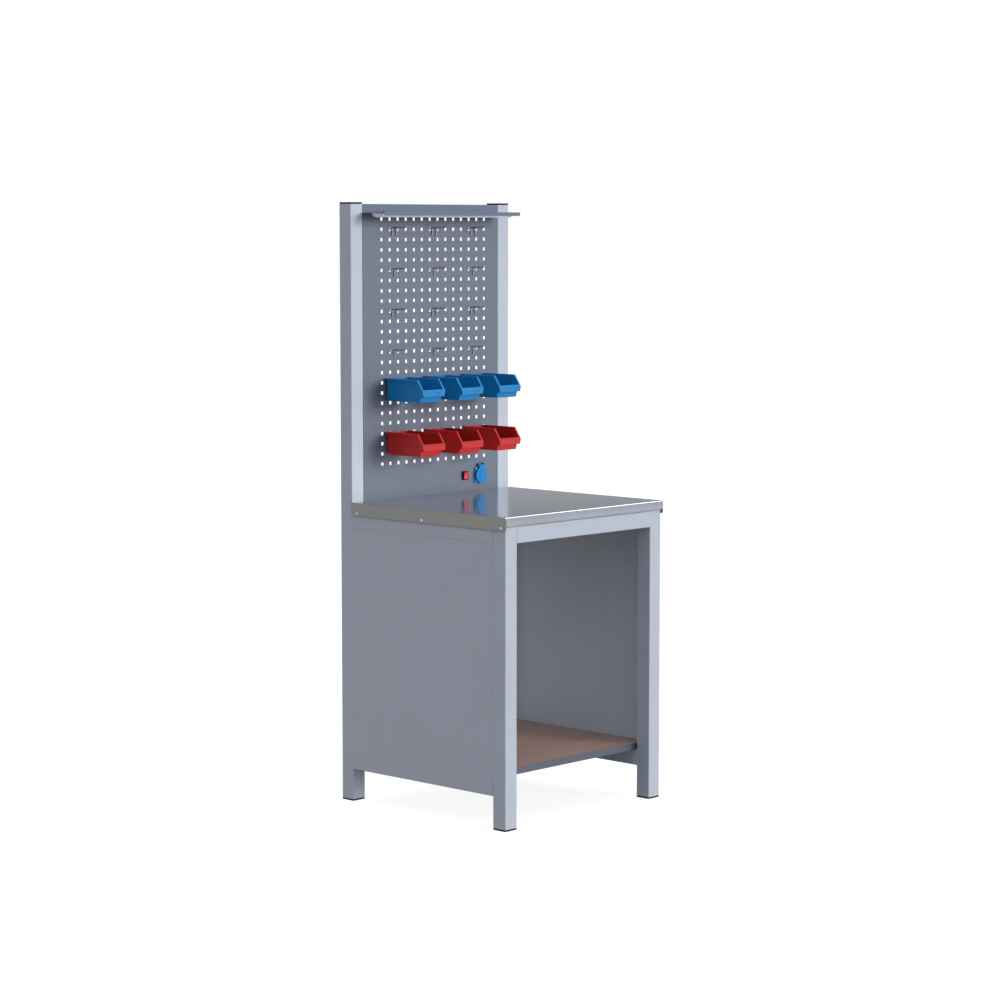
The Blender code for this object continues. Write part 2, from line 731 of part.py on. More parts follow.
def make_hooks():
    double = hook_mesh(2, HOOK_REACH_DOUBLE)
    single = hook_mesh(1, HOOK_REACH_SINGLE)
    for level in range(HOOK_LEVELS):
        shape = double if level % 2 == 0 else single
        z = hole_z(HOOK_FIRST_ROW + level * HOOK_ROW_STEP)
        for side, column in zip(SIDES, HOOK_COLUMNS):
            x = hole_x(column) + HOLE_PITCH_X / 2
            name = "hook_" + str(level + 1) + "_" + side
            smooth(copy_of(name, shape, (x, PANEL_Y, z), FINISH["dark_steel"]), 50)


# Bins, drawn about the rear edge of the rim: Y runs forward from 0 to minus the length, Z down from 0

def bin_side_outline():
    """The side of the bin, from the rear bottom corner forwards and back over the top."""
    foot = -(BIN_LENGTH - BIN_FRONT_FOOT)
    step = foot - BIN_FRONT_STEP
    lip = -(BIN_LENGTH - BIN_WALL)
    floor = -BIN_HEIGHT
    step_z = floor + BIN_STEP_HEIGHT
    lip_z = step_z + BIN_LIP_HEIGHT
    slope = -(BIN_LENGTH - BIN_SLOPE_RUN)
    rear = -BIN_REAR_OVERHANG
    return [(rear, floor), (foot, floor), (step, step_z), (lip, step_z), (lip, lip_z), (slope, 0), (rear, 0)]


def bin_cavity_outline():
    foot = -(BIN_LENGTH - BIN_FRONT_FOOT)
    step = foot - BIN_FRONT_STEP
    floor = -BIN_HEIGHT
    step_z = floor + BIN_STEP_HEIGHT
    lip = -(BIN_LENGTH - 2 * BIN_WALL)
    rear = -BIN_REAR_OVERHANG
    wall = BIN_WALL
    return [
        (rear - wall, floor + wall), (foot + wall, floor + wall), (step + wall, step_z + wall),
        (lip, step_z + wall), (lip, wall), (rear - wall, wall),
    ]


def bin_mesh():
    half = BIN_WIDTH / 2
    body = half - BIN_RIM_WIDTH
    shell = tool("bin_shell", prism(bin_side_outline(), 0, -body, body))

    slope = -(BIN_LENGTH - BIN_SLOPE_RUN)
    lip = -BIN_LENGTH
    lip_low = BIN_STEP_HEIGHT - BIN_HEIGHT
    lip_high = lip_low + BIN_LIP_HEIGHT
    rise = BIN_SLOPE_RUN / -lip_high
    thick = BIN_RIM_HEIGHT
    run = thick * rise
    rim = [(0, 0), (0, -BIN_WALL - BIN_HOOK_DROP), (-BIN_WALL, -BIN_WALL - BIN_HOOK_DROP),
           (-BIN_WALL, -BIN_WALL), (-BIN_REAR_OVERHANG, -BIN_WALL), (-BIN_REAR_OVERHANG, -thick),
           (slope + run, -thick), (lip + thick / 2, lip_high - thick / 2), (lip, lip_high), (slope, 0)]
    join(shell, tool("bin_rim", prism(rim, 0, -half, half)))
    taper = half - BIN_LIP_TAPER
    band = [(-taper, lip_low), (taper, lip_low), (half, lip_high), (-half, lip_high)]
    join(shell, tool("bin_band", prism(band, 1, lip, lip + BIN_WALL)))
    run_back = BIN_REAR_OVERHANG
    for sign in (-1, 1):
        for index in range(BIN_RIB_COUNT):
            share = (index + 1) / (BIN_RIB_COUNT + 1)
            y = -run_back - share * (BIN_LENGTH - BIN_FRONT_FOOT - run_back)
            near, far = y + BIN_RIB_WIDTH / 2, y - BIN_RIB_WIDTH / 2
            low, high = sorted((sign * (body + BIN_RIB), sign * (body - BIN_WALL / 2)))
            join(shell, tool("bin_rib", box(
                (low, far, BIN_WALL - BIN_HEIGHT), (high, near, -thick / 2))))
    inner = body - BIN_WALL
    cut(shell, tool("bin_cavity", prism(bin_cavity_outline(), 0, -inner, inner)))
    return settle(shell)


def bin_levels():
    """Name, hole row of the brackets, height of the rim and colour of each row of bins."""
    upper = hole_z(HANGER_ROW_UPPER) + BIN_RISE_UPPER
    lower = hole_z(HANGER_ROW_LOWER) + BIN_RISE_LOWER
    return [("upper", HANGER_ROW_UPPER, upper, "blue"), ("lower", HANGER_ROW_LOWER, lower, "red")]


def make_bins():
    shape = bin_mesh()
    y = PANEL_Y - HANGER_SHEET / 2
    for level, _, top, colour in bin_levels():
        for index, side in enumerate(SIDES):
            x = HOLE_FIELD_X + (index - 1) * BIN_PITCH
            copy_of("bin_" + level + "_" + side, shape, (x, y, top), FINISH[colour])


def hanger_mesh(top, row):
    """A folded bracket hooked into two holes of a row, with an upturned edge for the bin's rim."""
    bin_y = -HANGER_SHEET / 2
    crest = top - BIN_WALL - GAP
    lip_front = bin_y - BIN_REAR_OVERHANG + 2 * GAP
    ledge = crest - HANGER_LEDGE_DROP
    back = -GAP
    tab = hole_z(row) - HOLE_SIZE / 2 + 2 * GAP
    path = [
        (back, tab - HANGER_PLATE_BELOW), (back, ledge),
        (lip_front + HANGER_SHEET, ledge), (lip_front + HANGER_SHEET, crest),
    ]
    outline = folded(path, HANGER_SHEET)
    half = HANGER_WIDTH / 2
    plate = tool("hanger_plate", prism(outline, 0, -half, half))
    inside = SHEET + GAP + HANGER_SHEET
    tab_path = [
        (inside, tab - HANGER_TAB_TAIL), (inside, tab + HANGER_SHEET),
        (back - HANGER_SHEET / 2, tab + HANGER_SHEET),
    ]
    for sign in (-1, 1):
        near = (sign * HOLE_PITCH_X - HANGER_TAB_WIDTH) / 2
        tab_outline = folded(tab_path, HANGER_SHEET)
        join(plate, tool("hanger_tab", prism(tab_outline, 0, near, near + HANGER_TAB_WIDTH)))
    return settle(plate)


def make_hangers():
    for level, row, top, _ in bin_levels():
        shape = hanger_mesh(top, row)
        for side, column in zip(SIDES, HOOK_COLUMNS):
            x = hole_x(column) + HOLE_PITCH_X / 2
            copy_of("bin_hanger_" + level + "_" + side, shape, (x, PANEL_Y, 0), FINISH["zinc"])


# Socket

def socket_pin_bore():
    reach = SOCKET_HINGE_HALF + SHEET
    return tool("socket_pin_bore", cylinder(
        SOCKET_AXIS, 0, SOCKET_PIN_RADIUS + GAP, SOCKET_X - reach, SOCKET_X + reach, SOCKET_SMALL_STEPS))


def make_socket_base():
    """A square flange, a round can with a well for the plug, and two square ears for the lid's pin."""
    middle = SOCKET_CENTRE[1]
    back = PANEL_Y - GAP
    front = back - SOCKET_FLANGE_THICKNESS
    half = SOCKET_FLANGE / 2
    base = place("socket_base", rounded_box(
        (SOCKET_X - half, front, middle - half), (SOCKET_X + half, back, middle + half),
        1, SOCKET_FLANGE_CORNER), FINISH["blue"])
    can_end = back + SOCKET_CAN_DEPTH
    join(base, tool("socket_can", cylinder(
        SOCKET_CENTRE, 1, SOCKET_COLLAR_RADIUS, SOCKET_COLLAR_FRONT, can_end, SOCKET_ROUND_STEPS)))
    ear_front = SOCKET_FRONT + SOCKET_EAR_SETBACK
    ear_low = middle + half + GAP
    ear_top = middle + SOCKET_HINGE_TOP
    ear = [(back, ear_low - SOCKET_EAR_ROOT), (back, ear_top), (ear_front, ear_top),
           (ear_front, ear_low), (front, ear_low), (front, ear_low - SOCKET_EAR_ROOT)]
    for sign in (-1, 1):
        near, far = sorted((sign * (SOCKET_HINGE_HALF - SOCKET_EAR), sign * SOCKET_HINGE_HALF))
        join(base, tool("socket_ear", prism(ear, 0, SOCKET_X + near, SOCKET_X + far)))
    cut(base, tool("socket_well", cylinder(
        SOCKET_CENTRE, 1, SOCKET_WELL_RADIUS, SOCKET_COLLAR_FRONT - SHEET, SOCKET_WELL_END,
        SOCKET_ROUND_STEPS)))
    for sign in (-1, 1):
        spot = (SOCKET_X + sign * SOCKET_CONTACT_SPACING / 2, middle)
        cut(base, tool("contact_hole", cylinder(
            spot, 1, SOCKET_CONTACT_RADIUS + GAP, SOCKET_WELL_END - SHEET, can_end + SHEET,
            SOCKET_SMALL_STEPS)))
    groove = EARTH_CLIP_WIDTH / 2 + GAP
    reach = EARTH_CLIP_REACH + GAP
    groove_end = SOCKET_WELL_END + EARTH_CLIP_SHEET + 2 * GAP
    cut(base, tool("earth_groove", box(
        (SOCKET_X - groove, SOCKET_WELL_END - SHEET, middle - reach),
        (SOCKET_X + groove, groove_end, middle + reach))))
    cut(base, socket_pin_bore())


def make_socket_contacts():
    """Two contact sleeves behind the floor of the well, and the earth strip with its two clips."""
    middle = SOCKET_CENTRE[1]
    start = SOCKET_WELL_END + GAP
    end = start + SOCKET_CONTACT_LENGTH
    for side, sign in (("left", -1), ("right", 1)):
        spot = (SOCKET_X + sign * SOCKET_CONTACT_SPACING / 2, middle)
        sleeve = place("socket_contact_" + side, cylinder(
            spot, 1, SOCKET_CONTACT_RADIUS, start, end, SOCKET_SMALL_STEPS), FINISH["brass"])
        cut(sleeve, tool("contact_bore", cylinder(
            spot, 1, SOCKET_CONTACT_BORE, start - SHEET, end + SHEET, SOCKET_SMALL_STEPS)))
    tip = start - EARTH_CLIP_LENGTH
    inner = EARTH_CLIP_REACH - EARTH_CLIP_SHEET
    path = [
        (tip, middle + inner), (start, middle + inner),
        (start, middle - inner), (tip, middle - inner),
    ]
    half = EARTH_CLIP_WIDTH / 2
    place("socket_earth_clip", prism(
        folded(path, EARTH_CLIP_SHEET), 0, SOCKET_X - half, SOCKET_X + half), FINISH["brass"])


def make_socket_lid():
    """A round lid with a raised band that ends in a finger tab below and in the hinge's knuckle above."""
    middle = SOCKET_CENTRE[1]
    axis_y, axis_z = SOCKET_AXIS
    lid = place("socket_lid", cylinder(
        SOCKET_CENTRE, 1, SOCKET_LID_RADIUS, SOCKET_FRONT + SOCKET_BAND_PROUD, SOCKET_LID_BACK,
        SOCKET_ROUND_STEPS), FINISH["blue"], origin=(SOCKET_X, *SOCKET_AXIS))
    band = [(SOCKET_LID_BACK, middle - SOCKET_LID_RADIUS), (SOCKET_FRONT, middle - SOCKET_LID_RADIUS)]
    band += arc(SOCKET_AXIS, SOCKET_KNUCKLE_RADIUS, 180, -90, 9)
    root = axis_y - SOCKET_LID_BACK
    band.append((SOCKET_LID_BACK, axis_z - SOCKET_KNUCKLE_RADIUS - root))
    half = SOCKET_BAND_WIDTH / 2
    join(lid, tool("lid_band", prism(band, 0, SOCKET_X - half, SOCKET_X + half)))
    cut(lid, socket_pin_bore())
    place("socket_hinge_pin", cylinder(
        SOCKET_AXIS, 0, SOCKET_PIN_RADIUS, SOCKET_X - SOCKET_HINGE_HALF, SOCKET_X + SOCKET_HINGE_HALF,
        SOCKET_SMALL_STEPS), FINISH["steel"])


# Switch

def rocker_outline(pivot_y, pivot_z, turn):
    """Side view of the rocker: a shallow V in front, round ends about the pivot and a flat back."""
    lean = math.asin(ROCKER_FRONT * math.cos(ROCKER_TILT) / ROCKER_RADIUS) + ROCKER_TILT
    lean = math.degrees(lean)
    back = math.degrees(ROCKER_BACK_ANGLE)
    points = [(-ROCKER_FRONT, 0.0)]
    points += [(-y, z) for z, y in arc((0, 0), ROCKER_RADIUS, lean, -back, 4)]
    points += [(-y, -z) for z, y in arc((0, 0), ROCKER_RADIUS, -back, lean, 4)]
    cos_turn = math.cos(turn)
    sin_turn = math.sin(turn)
    placed = []
    for y, z in points:
        placed.append((pivot_y + y * cos_turn - z * sin_turn, pivot_z + y * sin_turn + z * cos_turn))
    return placed


def make_switch():
    bezel_back = PANEL_Y - GAP
    bezel_front = bezel_back - SWITCH_PROUD
    half_x = SWITCH_BEZEL_WIDTH / 2
    half_z = SWITCH_BEZEL_HEIGHT / 2
    low = (SWITCH_X - half_x, bezel_front, SWITCH_Z - half_z)
    high = (SWITCH_X + half_x, bezel_back, SWITCH_Z + half_z)
    body = place("switch_body", rounded_box(low, high, 1, SWITCH_BEZEL_CORNER), FINISH["black"])
    wide = SWITCH_BODY_WIDTH / 2
    tall = SWITCH_BODY_HEIGHT / 2
    body_end = bezel_back + SWITCH_BODY_DEPTH
    join(body, tool("switch_housing", box(
        (SWITCH_X - wide, bezel_back - SHEET, SWITCH_Z - tall),
        (SWITCH_X + wide, body_end, SWITCH_Z + tall))))
    room_x = ROCKER_WIDTH / 2 + ROCKER_CLEARANCE
    room_z = ROCKER_RADIUS + ROCKER_CLEARANCE
    cut(body, tool("switch_cavity", box(
        (SWITCH_X - room_x, bezel_front - SHEET, SWITCH_Z - room_z),
        (SWITCH_X + room_x, bezel_front + SWITCH_CAVITY_DEPTH, SWITCH_Z + room_z))))
    pivot = (bezel_front + ROCKER_PIVOT_DEPTH, SWITCH_Z)
    stub = ROCKER_WIDTH / 2 + ROCKER_STUB
    bore = stub + ROCKER_CLEARANCE
    cut(body, tool("switch_pivot_bore", cylinder(
        pivot, 0, ROCKER_STUB_RADIUS + GAP, SWITCH_X - bore, SWITCH_X + bore, 10)))
    outline = rocker_outline(*pivot, ROCKER_TILT)
    width = ROCKER_WIDTH / 2
    rocker = place("switch_rocker", prism(outline, 0, SWITCH_X - width, SWITCH_X + width),
                   FINISH["rocker"], origin=(SWITCH_X, *pivot))
    join(rocker, tool("rocker_stubs", cylinder(
        pivot, 0, ROCKER_STUB_RADIUS, SWITCH_X - stub, SWITCH_X + stub, 10)))


clear_scene()
PARTS = new_collection("workbench")
CUTTERS = new_collection("cutters")
FINISH = make_finishes()
make_frame()
make_side_panels()
make_shelf()
make_worktop()
make_perforated_panel()
make_canopy()
make_lamp()
make_hooks()
make_bins()
make_hangers()
make_socket_base()
make_socket_contacts()
make_socket_lid()
make_switch()
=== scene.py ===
"""Looks of the workshop bench: finishes, fine pieces, floor, light and camera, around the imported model."""

import json
import math

import bmesh
import bpy
from mathutils import Matrix, Vector
from mathutils.bvhtree import BVHTree


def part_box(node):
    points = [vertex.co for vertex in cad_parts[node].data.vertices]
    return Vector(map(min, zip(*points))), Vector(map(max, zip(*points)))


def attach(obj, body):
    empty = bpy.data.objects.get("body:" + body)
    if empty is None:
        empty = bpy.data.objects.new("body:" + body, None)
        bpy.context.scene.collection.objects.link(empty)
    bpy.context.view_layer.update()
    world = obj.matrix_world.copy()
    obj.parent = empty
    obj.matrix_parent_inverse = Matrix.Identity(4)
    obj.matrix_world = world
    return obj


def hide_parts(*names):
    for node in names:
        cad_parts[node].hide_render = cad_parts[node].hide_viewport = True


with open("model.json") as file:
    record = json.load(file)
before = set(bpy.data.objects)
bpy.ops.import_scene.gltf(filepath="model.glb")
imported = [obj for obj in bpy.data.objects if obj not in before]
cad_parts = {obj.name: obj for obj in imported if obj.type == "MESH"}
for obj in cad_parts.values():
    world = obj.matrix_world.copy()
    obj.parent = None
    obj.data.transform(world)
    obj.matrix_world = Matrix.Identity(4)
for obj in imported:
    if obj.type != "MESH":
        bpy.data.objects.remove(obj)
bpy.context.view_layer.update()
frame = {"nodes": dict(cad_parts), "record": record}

# Lengths are in metres and angles in degrees

# Camera, as solved from the straight edges of the bench
CAMERA_PLACE = (-6.15782, -5.81580, 1.77499)
CAMERA_TURN = (84.363, 0.0, -46.582)
CAMERA_LENS = 99.39
CAMERA_SENSOR = 36.0
CAMERA_SHIFT = (0.0007, -0.0020)

# Light that falls on the bench from all round
AMBIENT_HORIZON = 0.585
AMBIENT_TOP = 0.88
AMBIENT_TINT = (1.0, 0.965, 1.045)

# Backdrop that reflections show: white low down and towards the bright side, a grey dome elsewhere
BACKDROP_WHITE = 1.0
BACKDROP_GREY = (0.10, 0.11, 0.145)
BACKDROP_HIGH = (0.44, 0.45, 0.48)
WHITE_BELOW = 4.7
GREY_ABOVE = 5.7
GREY_BELOW = 20.0
HIGH_ABOVE = 45.0
BRIGHT_SIDE = (0.727, -0.687, 0.0)
BRIGHT_FROM = 0.25
BRIGHT_FULL = 0.80

# Lamps, each with the way from the bench towards it
KEY_TOWARDS = (0.380, -0.899, 0.216)
KEY_STRENGTH = 1.95
KEY_ANGLE = 21.0
SIDE_TOWARDS = (0.75, 0.15, 0.64)
SIDE_STRENGTH = 0.45
SIDE_ANGLE = 20.0
BOUNCE_POWER = 0.85
BOUNCE_SIZE = (0.64, 0.56)
BOUNCE_PLACE = (0.0, -0.02, 0.9318)

# Floor
FLOOR_SIZE = 80.0
FLOOR_DROP = 0.0003
FLOOR_BOUNCE = 0.12
FLOOR_SHADOW_SHARE = 0.28
FLOOR_GLOW = 0.86


# Node helpers

def fill_inputs(tree, node, links):
    """Set each input of a node to a value, or link it to a socket."""
    for label, value in links.items():
        if isinstance(value, bpy.types.NodeSocket):
            tree.links.new(value, node.inputs[label])
        else:
            node.inputs[label].default_value = value


def add(tree, kind, links=None, **settings):
    """A shader node with its settings and inputs."""
    node = tree.nodes.new("ShaderNode" + kind)
    for key, value in settings.items():
        setattr(node, key, value)
    fill_inputs(tree, node, links or {})
    return node


def opaque(colour):
    """A colour as a colour socket takes it."""
    return (*colour, 1.0)


def grey(level):
    return opaque((level, level, level))


def math_node(tree, operation, first, second, clamp=False):
    return add(tree, "Math", {0: first, 1: second}, operation=operation, use_clamp=clamp).outputs[0]


def product(tree, *factors):
    result = factors[0]
    for factor in factors[1:]:
        result = math_node(tree, "MULTIPLY", result, factor)
    return result


def spread(tree, value, low, high, out_low=0.0, out_high=1.0):
    """A value stretched from one range to another and held inside it."""
    links = {"Value": value, "From Min": low, "From Max": high, "To Min": out_low, "To Max": out_high}
    return add(tree, "MapRange", links, clamp=True).outputs["Result"]


def mix_colour(tree, factor, first, second, blend="MIX"):
    """Two colours mixed, by the numbers that a Mix node's colour sockets have."""
    return add(tree, "Mix", {0: factor, 6: first, 7: second}, data_type="RGBA", blend_type=blend).outputs[2]


def object_place(tree):
    return add(tree, "TexCoord").outputs["Object"]


def stretched(tree, place, scale):
    return add(tree, "Mapping", {"Vector": place, "Scale": scale}).outputs[0]


def noise(tree, place, scale, detail, roughness=0.5, distortion=0.0):
    links = {
        "Vector": place, "Scale": scale, "Detail": detail, "Roughness": roughness, "Distortion": distortion}
    return add(tree, "TexNoise", links).outputs[0]


def new_group(name, inputs, output, kind):
    """An empty shader node group; returns it with its input sockets and a function that fills its output."""
    tree = bpy.data.node_groups.new(name, "ShaderNodeTree")
    for label, input_kind, value in inputs:
        socket = tree.interface.new_socket(label, in_out="INPUT", socket_type="NodeSocket" + input_kind)
        socket.default_value = value
    tree.interface.new_socket(output, in_out="OUTPUT", socket_type="NodeSocket" + kind)
    entry = tree.nodes.new("NodeGroupInput")
    leave = tree.nodes.new("NodeGroupOutput")

    def give(socket):
        tree.links.new(socket, leave.inputs[output])

    return tree, entry.outputs, give


# Shared effects

EDGE_TURN = (0.98, 0.80)
PATCHES = (0.42, 0.62)
RUB_LINES = (0.55, 0.70)
RUB_PATCH_SCALE = 5.0


def make_mottle_group():
    """Uneven tone: a broad drift and a fine speckle on top of a colour."""
    tree, given, give = new_group("mottle", [
        ("Color", "Color", grey(0.5)), ("Broad Scale", "Float", 6.0), ("Broad Amount", "Float", 0.05),
        ("Fine Scale", "Float", 220.0), ("Fine Amount", "Float", 0.05)], "Color", "Color")
    place = object_place(tree)
    shares = []
    for size, detail in (("Broad", 3.0), ("Fine", 2.0)):
        swing = math_node(tree, "SUBTRACT", noise(tree, place, given[size + " Scale"], detail), 0.5)
        shares.append(product(tree, swing, given[size + " Amount"]))
    total = math_node(tree, "ADD", math_node(tree, "ADD", *shares), 0.5)
    doubled = product(tree, total, 2.0)
    tone = add(tree, "CombineColor", {0: doubled, 1: doubled, 2: doubled}).outputs[0]
    give(mix_colour(tree, 1.0, given["Color"], tone, "MULTIPLY"))
    return tree


def make_wear_group():
    """A mask that is 1 on outer edges, broken up by noise."""
    tree, given, give = new_group("edge_wear", [
        ("Radius", "Float", 0.001), ("Amount", "Float", 0.5), ("Breakup Scale", "Float", 60.0)],
        "Mask", "Float")
    soft = add(tree, "Bevel", {"Radius": given["Radius"]}, samples=4).outputs[0]
    true = add(tree, "NewGeometry").outputs["Normal"]
    turn = add(tree, "VectorMath", {0: soft, 1: true}, operation="DOT_PRODUCT").outputs["Value"]
    edge = spread(tree, turn, *EDGE_TURN)
    cloud = noise(tree, object_place(tree), given["Breakup Scale"], detail=4.0)
    broken = spread(tree, cloud, *PATCHES)
    give(product(tree, edge, broken, given["Amount"]))
    return tree


def make_peel_group():
    """Height of a sprayed or moulded skin: soft dimples with a finer grain between them."""
    tree, given, give = new_group("peel", [
        ("Dimple Scale", "Float", 260.0), ("Grain Scale", "Float", 900.0), ("Grain Share", "Float", 0.3)],
        "Height", "Float")
    place = object_place(tree)
    dimple = noise(tree, place, given["Dimple Scale"], detail=1.0)
    grain = noise(tree, place, given["Grain Scale"], detail=2.0)
    give(math_node(tree, "ADD", dimple, product(tree, grain, given["Grain Share"])))
    return tree


def make_scuff_group():
    """A mask of thin rub marks, drawn out by a stretch."""
    tree, given, give = new_group("scuffs", [
        ("Stretch", "Vector", (4.0, 160.0, 160.0)), ("Amount", "Float", 0.4)], "Mask", "Float")
    place = object_place(tree)
    line = noise(tree, stretched(tree, place, given["Stretch"]), scale=1.0, detail=5.0, roughness=0.7)
    patch = noise(tree, place, RUB_PATCH_SCALE, detail=2.0)
    give(product(tree, spread(tree, line, *RUB_LINES), spread(tree, patch, *PATCHES), given["Amount"]))
    return tree


GROUPS = {
    "mottle": make_mottle_group(),
    "edge_wear": make_wear_group(),
    "peel": make_peel_group(),
    "scuffs": make_scuff_group(),
}


def effect(tree, name, **values):
    """The output of a shared effect that has its own values in a material."""
    node = tree.nodes.new("ShaderNodeGroup")
    node.node_tree = GROUPS[name]
    fill_inputs(tree, node, {label.replace("_", " ").title(): value for label, value in values.items()})
    return node.outputs[0]


# Materials

WORN_POLISH = -0.12
PLASTIC_PALE = 0.85
STEEL_BRIGHT = 1.5
STEEL_LIFT = 0.05
WOOD_ALONG = 0.8
WOOD_RINGS = (0.35, 0.65)
PORE_STRETCH = (12.0, 420.0, 420.0)
PORES = (0.60, 0.75, 0.0, 0.35)
PORE_DARK = 0.5
PORE_ROUGH = 0.2
OPAL_ROUGHNESS = (0.4, 0.9, 0.30, 0.42)


def new_material(name, **settings):
    """A material with one Principled shader; plain numbers go straight on its sockets."""
    material = bpy.data.materials.new(name)
    material.use_nodes = True
    tree = material.node_tree
    shader = tree.nodes["Principled BSDF"]
    fill_inputs(tree, shader, {label.replace("_", " "): value for label, value in settings.items()})
    return material, tree, shader


def feed(tree, shader, label, socket):
    tree.links.new(socket, shader.inputs[label])


def bump(tree, shader, height, distance, strength):
    node = add(tree, "Bump", {"Height": height, "Distance": distance, "Strength": strength})
    feed(tree, shader, "Normal", node.outputs[0])


def rub_edges(tree, shader, toned, worn, **wear):
    """Colour the material, with another tone on its rubbed edges; returns the mask of those."""
    mask = effect(tree, "edge_wear", **wear)
    feed(tree, shader, "Base Color", mix_colour(tree, mask, toned, opaque(worn)))
    return mask


def scuff_roughness(tree, shader, roughness, **scuffs):
    """Rub marks that make the material rougher than it is elsewhere."""
    mask = effect(tree, "scuffs", **scuffs)
    feed(tree, shader, "Roughness", math_node(tree, "ADD", mask, roughness, clamp=True))


def set_glow(shader, glow):
    """A weak light of the material's own, set by the photograph's tones; on the opal lens it is painted
    light.
    """
    shader.inputs["Emission Color"].default_value = opaque(glow)
    shader.inputs["Emission Strength"].default_value = 1.0


def make_paint(name, colour, worn, roughness, speckle=0.10):
    """Powder coat with an orange-peel skin, slight drifts of tone and rubbed edges."""
    material, tree, shader = new_material(name)
    toned = effect(
        tree, "mottle", color=opaque(colour), broad_scale=3.0, broad_amount=0.05, fine_scale=260.0,
        fine_amount=speckle)
    wear = rub_edges(tree, shader, toned, worn, radius=0.0008, amount=0.35, breakup_scale=45.0)
    smoothed = math_node(tree, "ADD", product(tree, wear, WORN_POLISH), roughness)
    scuff_roughness(tree, shader, smoothed, stretch=(30.0, 30.0, 5.0), amount=0.10)
    height = effect(tree, "peel", dimple_scale=190.0, grain_scale=700.0, grain_share=0.35)
    bump(tree, shader, height, distance=0.0004, strength=0.6)
    return material


def make_plastic(name, colour, roughness, gloss=0.35, worn=0.06, glow=None):
    """Moulded plastic: fine grain, handling scuffs and paler worn edges."""
    material, tree, shader = new_material(name, Specular_IOR_Level=gloss)
    toned = effect(
        tree, "mottle", color=opaque(colour), broad_scale=14.0, broad_amount=0.07, fine_scale=500.0,
        fine_amount=0.05)
    pale = tuple(PLASTIC_PALE * value + worn for value in colour)
    rub_edges(tree, shader, toned, pale, radius=0.0006, amount=0.30, breakup_scale=120.0)
    scuff_roughness(tree, shader, roughness, stretch=(60.0, 20.0, 90.0), amount=0.18)
    height = effect(tree, "peel", dimple_scale=420.0, grain_scale=1400.0, grain_share=0.6)
    bump(tree, shader, height, distance=0.00006, strength=0.5)
    if glow is not None:
        set_glow(shader, glow)
    return material


def make_steel(name, colour, roughness, stretch, metallic=1.0):
    """Bare or plated sheet: long faint rolling lines, cloudy tone and bright rubbed edges."""
    material, tree, shader = new_material(name, Metallic=metallic)
    toned = effect(
        tree, "mottle", color=opaque(colour), broad_scale=4.0, broad_amount=0.10, fine_scale=90.0,
        fine_amount=0.06)
    bright = tuple(min(1.0, STEEL_BRIGHT * value + STEEL_LIFT) for value in colour)
    rub_edges(tree, shader, toned, bright, radius=0.0006, amount=0.5, breakup_scale=80.0)
    scuff_roughness(tree, shader, roughness, stretch=stretch, amount=0.12)
    lines = effect(tree, "scuffs", stretch=stretch, amount=1.0)
    bump(tree, shader, lines, distance=0.00001, strength=0.25)
    return material


def make_wood(name, pale, dark, roughness, ring=9.0):
    """Board with a printed or natural grain that runs along X."""
    material, tree, shader = new_material(name)
    place = object_place(tree)
    rings = noise(
        tree, stretched(tree, place, (WOOD_ALONG, ring, ring)), scale=2.2, detail=6.0, distortion=1.2)
    pores = noise(tree, stretched(tree, place, PORE_STRETCH), scale=1.0, detail=3.0)
    grain = mix_colour(tree, spread(tree, rings, *WOOD_RINGS), opaque(dark), opaque(pale))
    pore = opaque(PORE_DARK * value for value in dark)
    grain = mix_colour(tree, spread(tree, pores, *PORES), grain, pore)
    toned = effect(
        tree, "mottle", color=grain, broad_scale=5.0, broad_amount=0.10, fine_scale=300.0, fine_amount=0.08)
    rub_edges(tree, shader, toned, pale, radius=0.0008, amount=0.4, breakup_scale=70.0)
    rough = math_node(tree, "ADD", product(tree, pores, PORE_ROUGH), roughness - PORE_ROUGH / 2)
    feed(tree, shader, "Roughness", rough)
    bump(tree, shader, pores, distance=0.00008, strength=0.5)
    return material


def make_opal(name, colour, glow):
    """Milky plastic that lets a little light through, with a weak glow that is painted light, as its lamp is
    not lit.
    """
    material, tree, shader = new_material(name, Subsurface_Weight=0.3, Subsurface_Scale=0.004)
    toned = effect(
        tree, "mottle", color=opaque(colour), broad_scale=9.0, broad_amount=0.04, fine_scale=400.0,
        fine_amount=0.03)
    feed(tree, shader, "Base Color", toned)
    height = effect(tree, "peel", dimple_scale=300.0, grain_scale=1500.0, grain_share=0.5)
    feed(tree, shader, "Roughness", spread(tree, height, *OPAL_ROUGHNESS))
    bump(tree, shader, height, distance=0.00004, strength=0.4)
    set_glow(shader, glow)
    return material


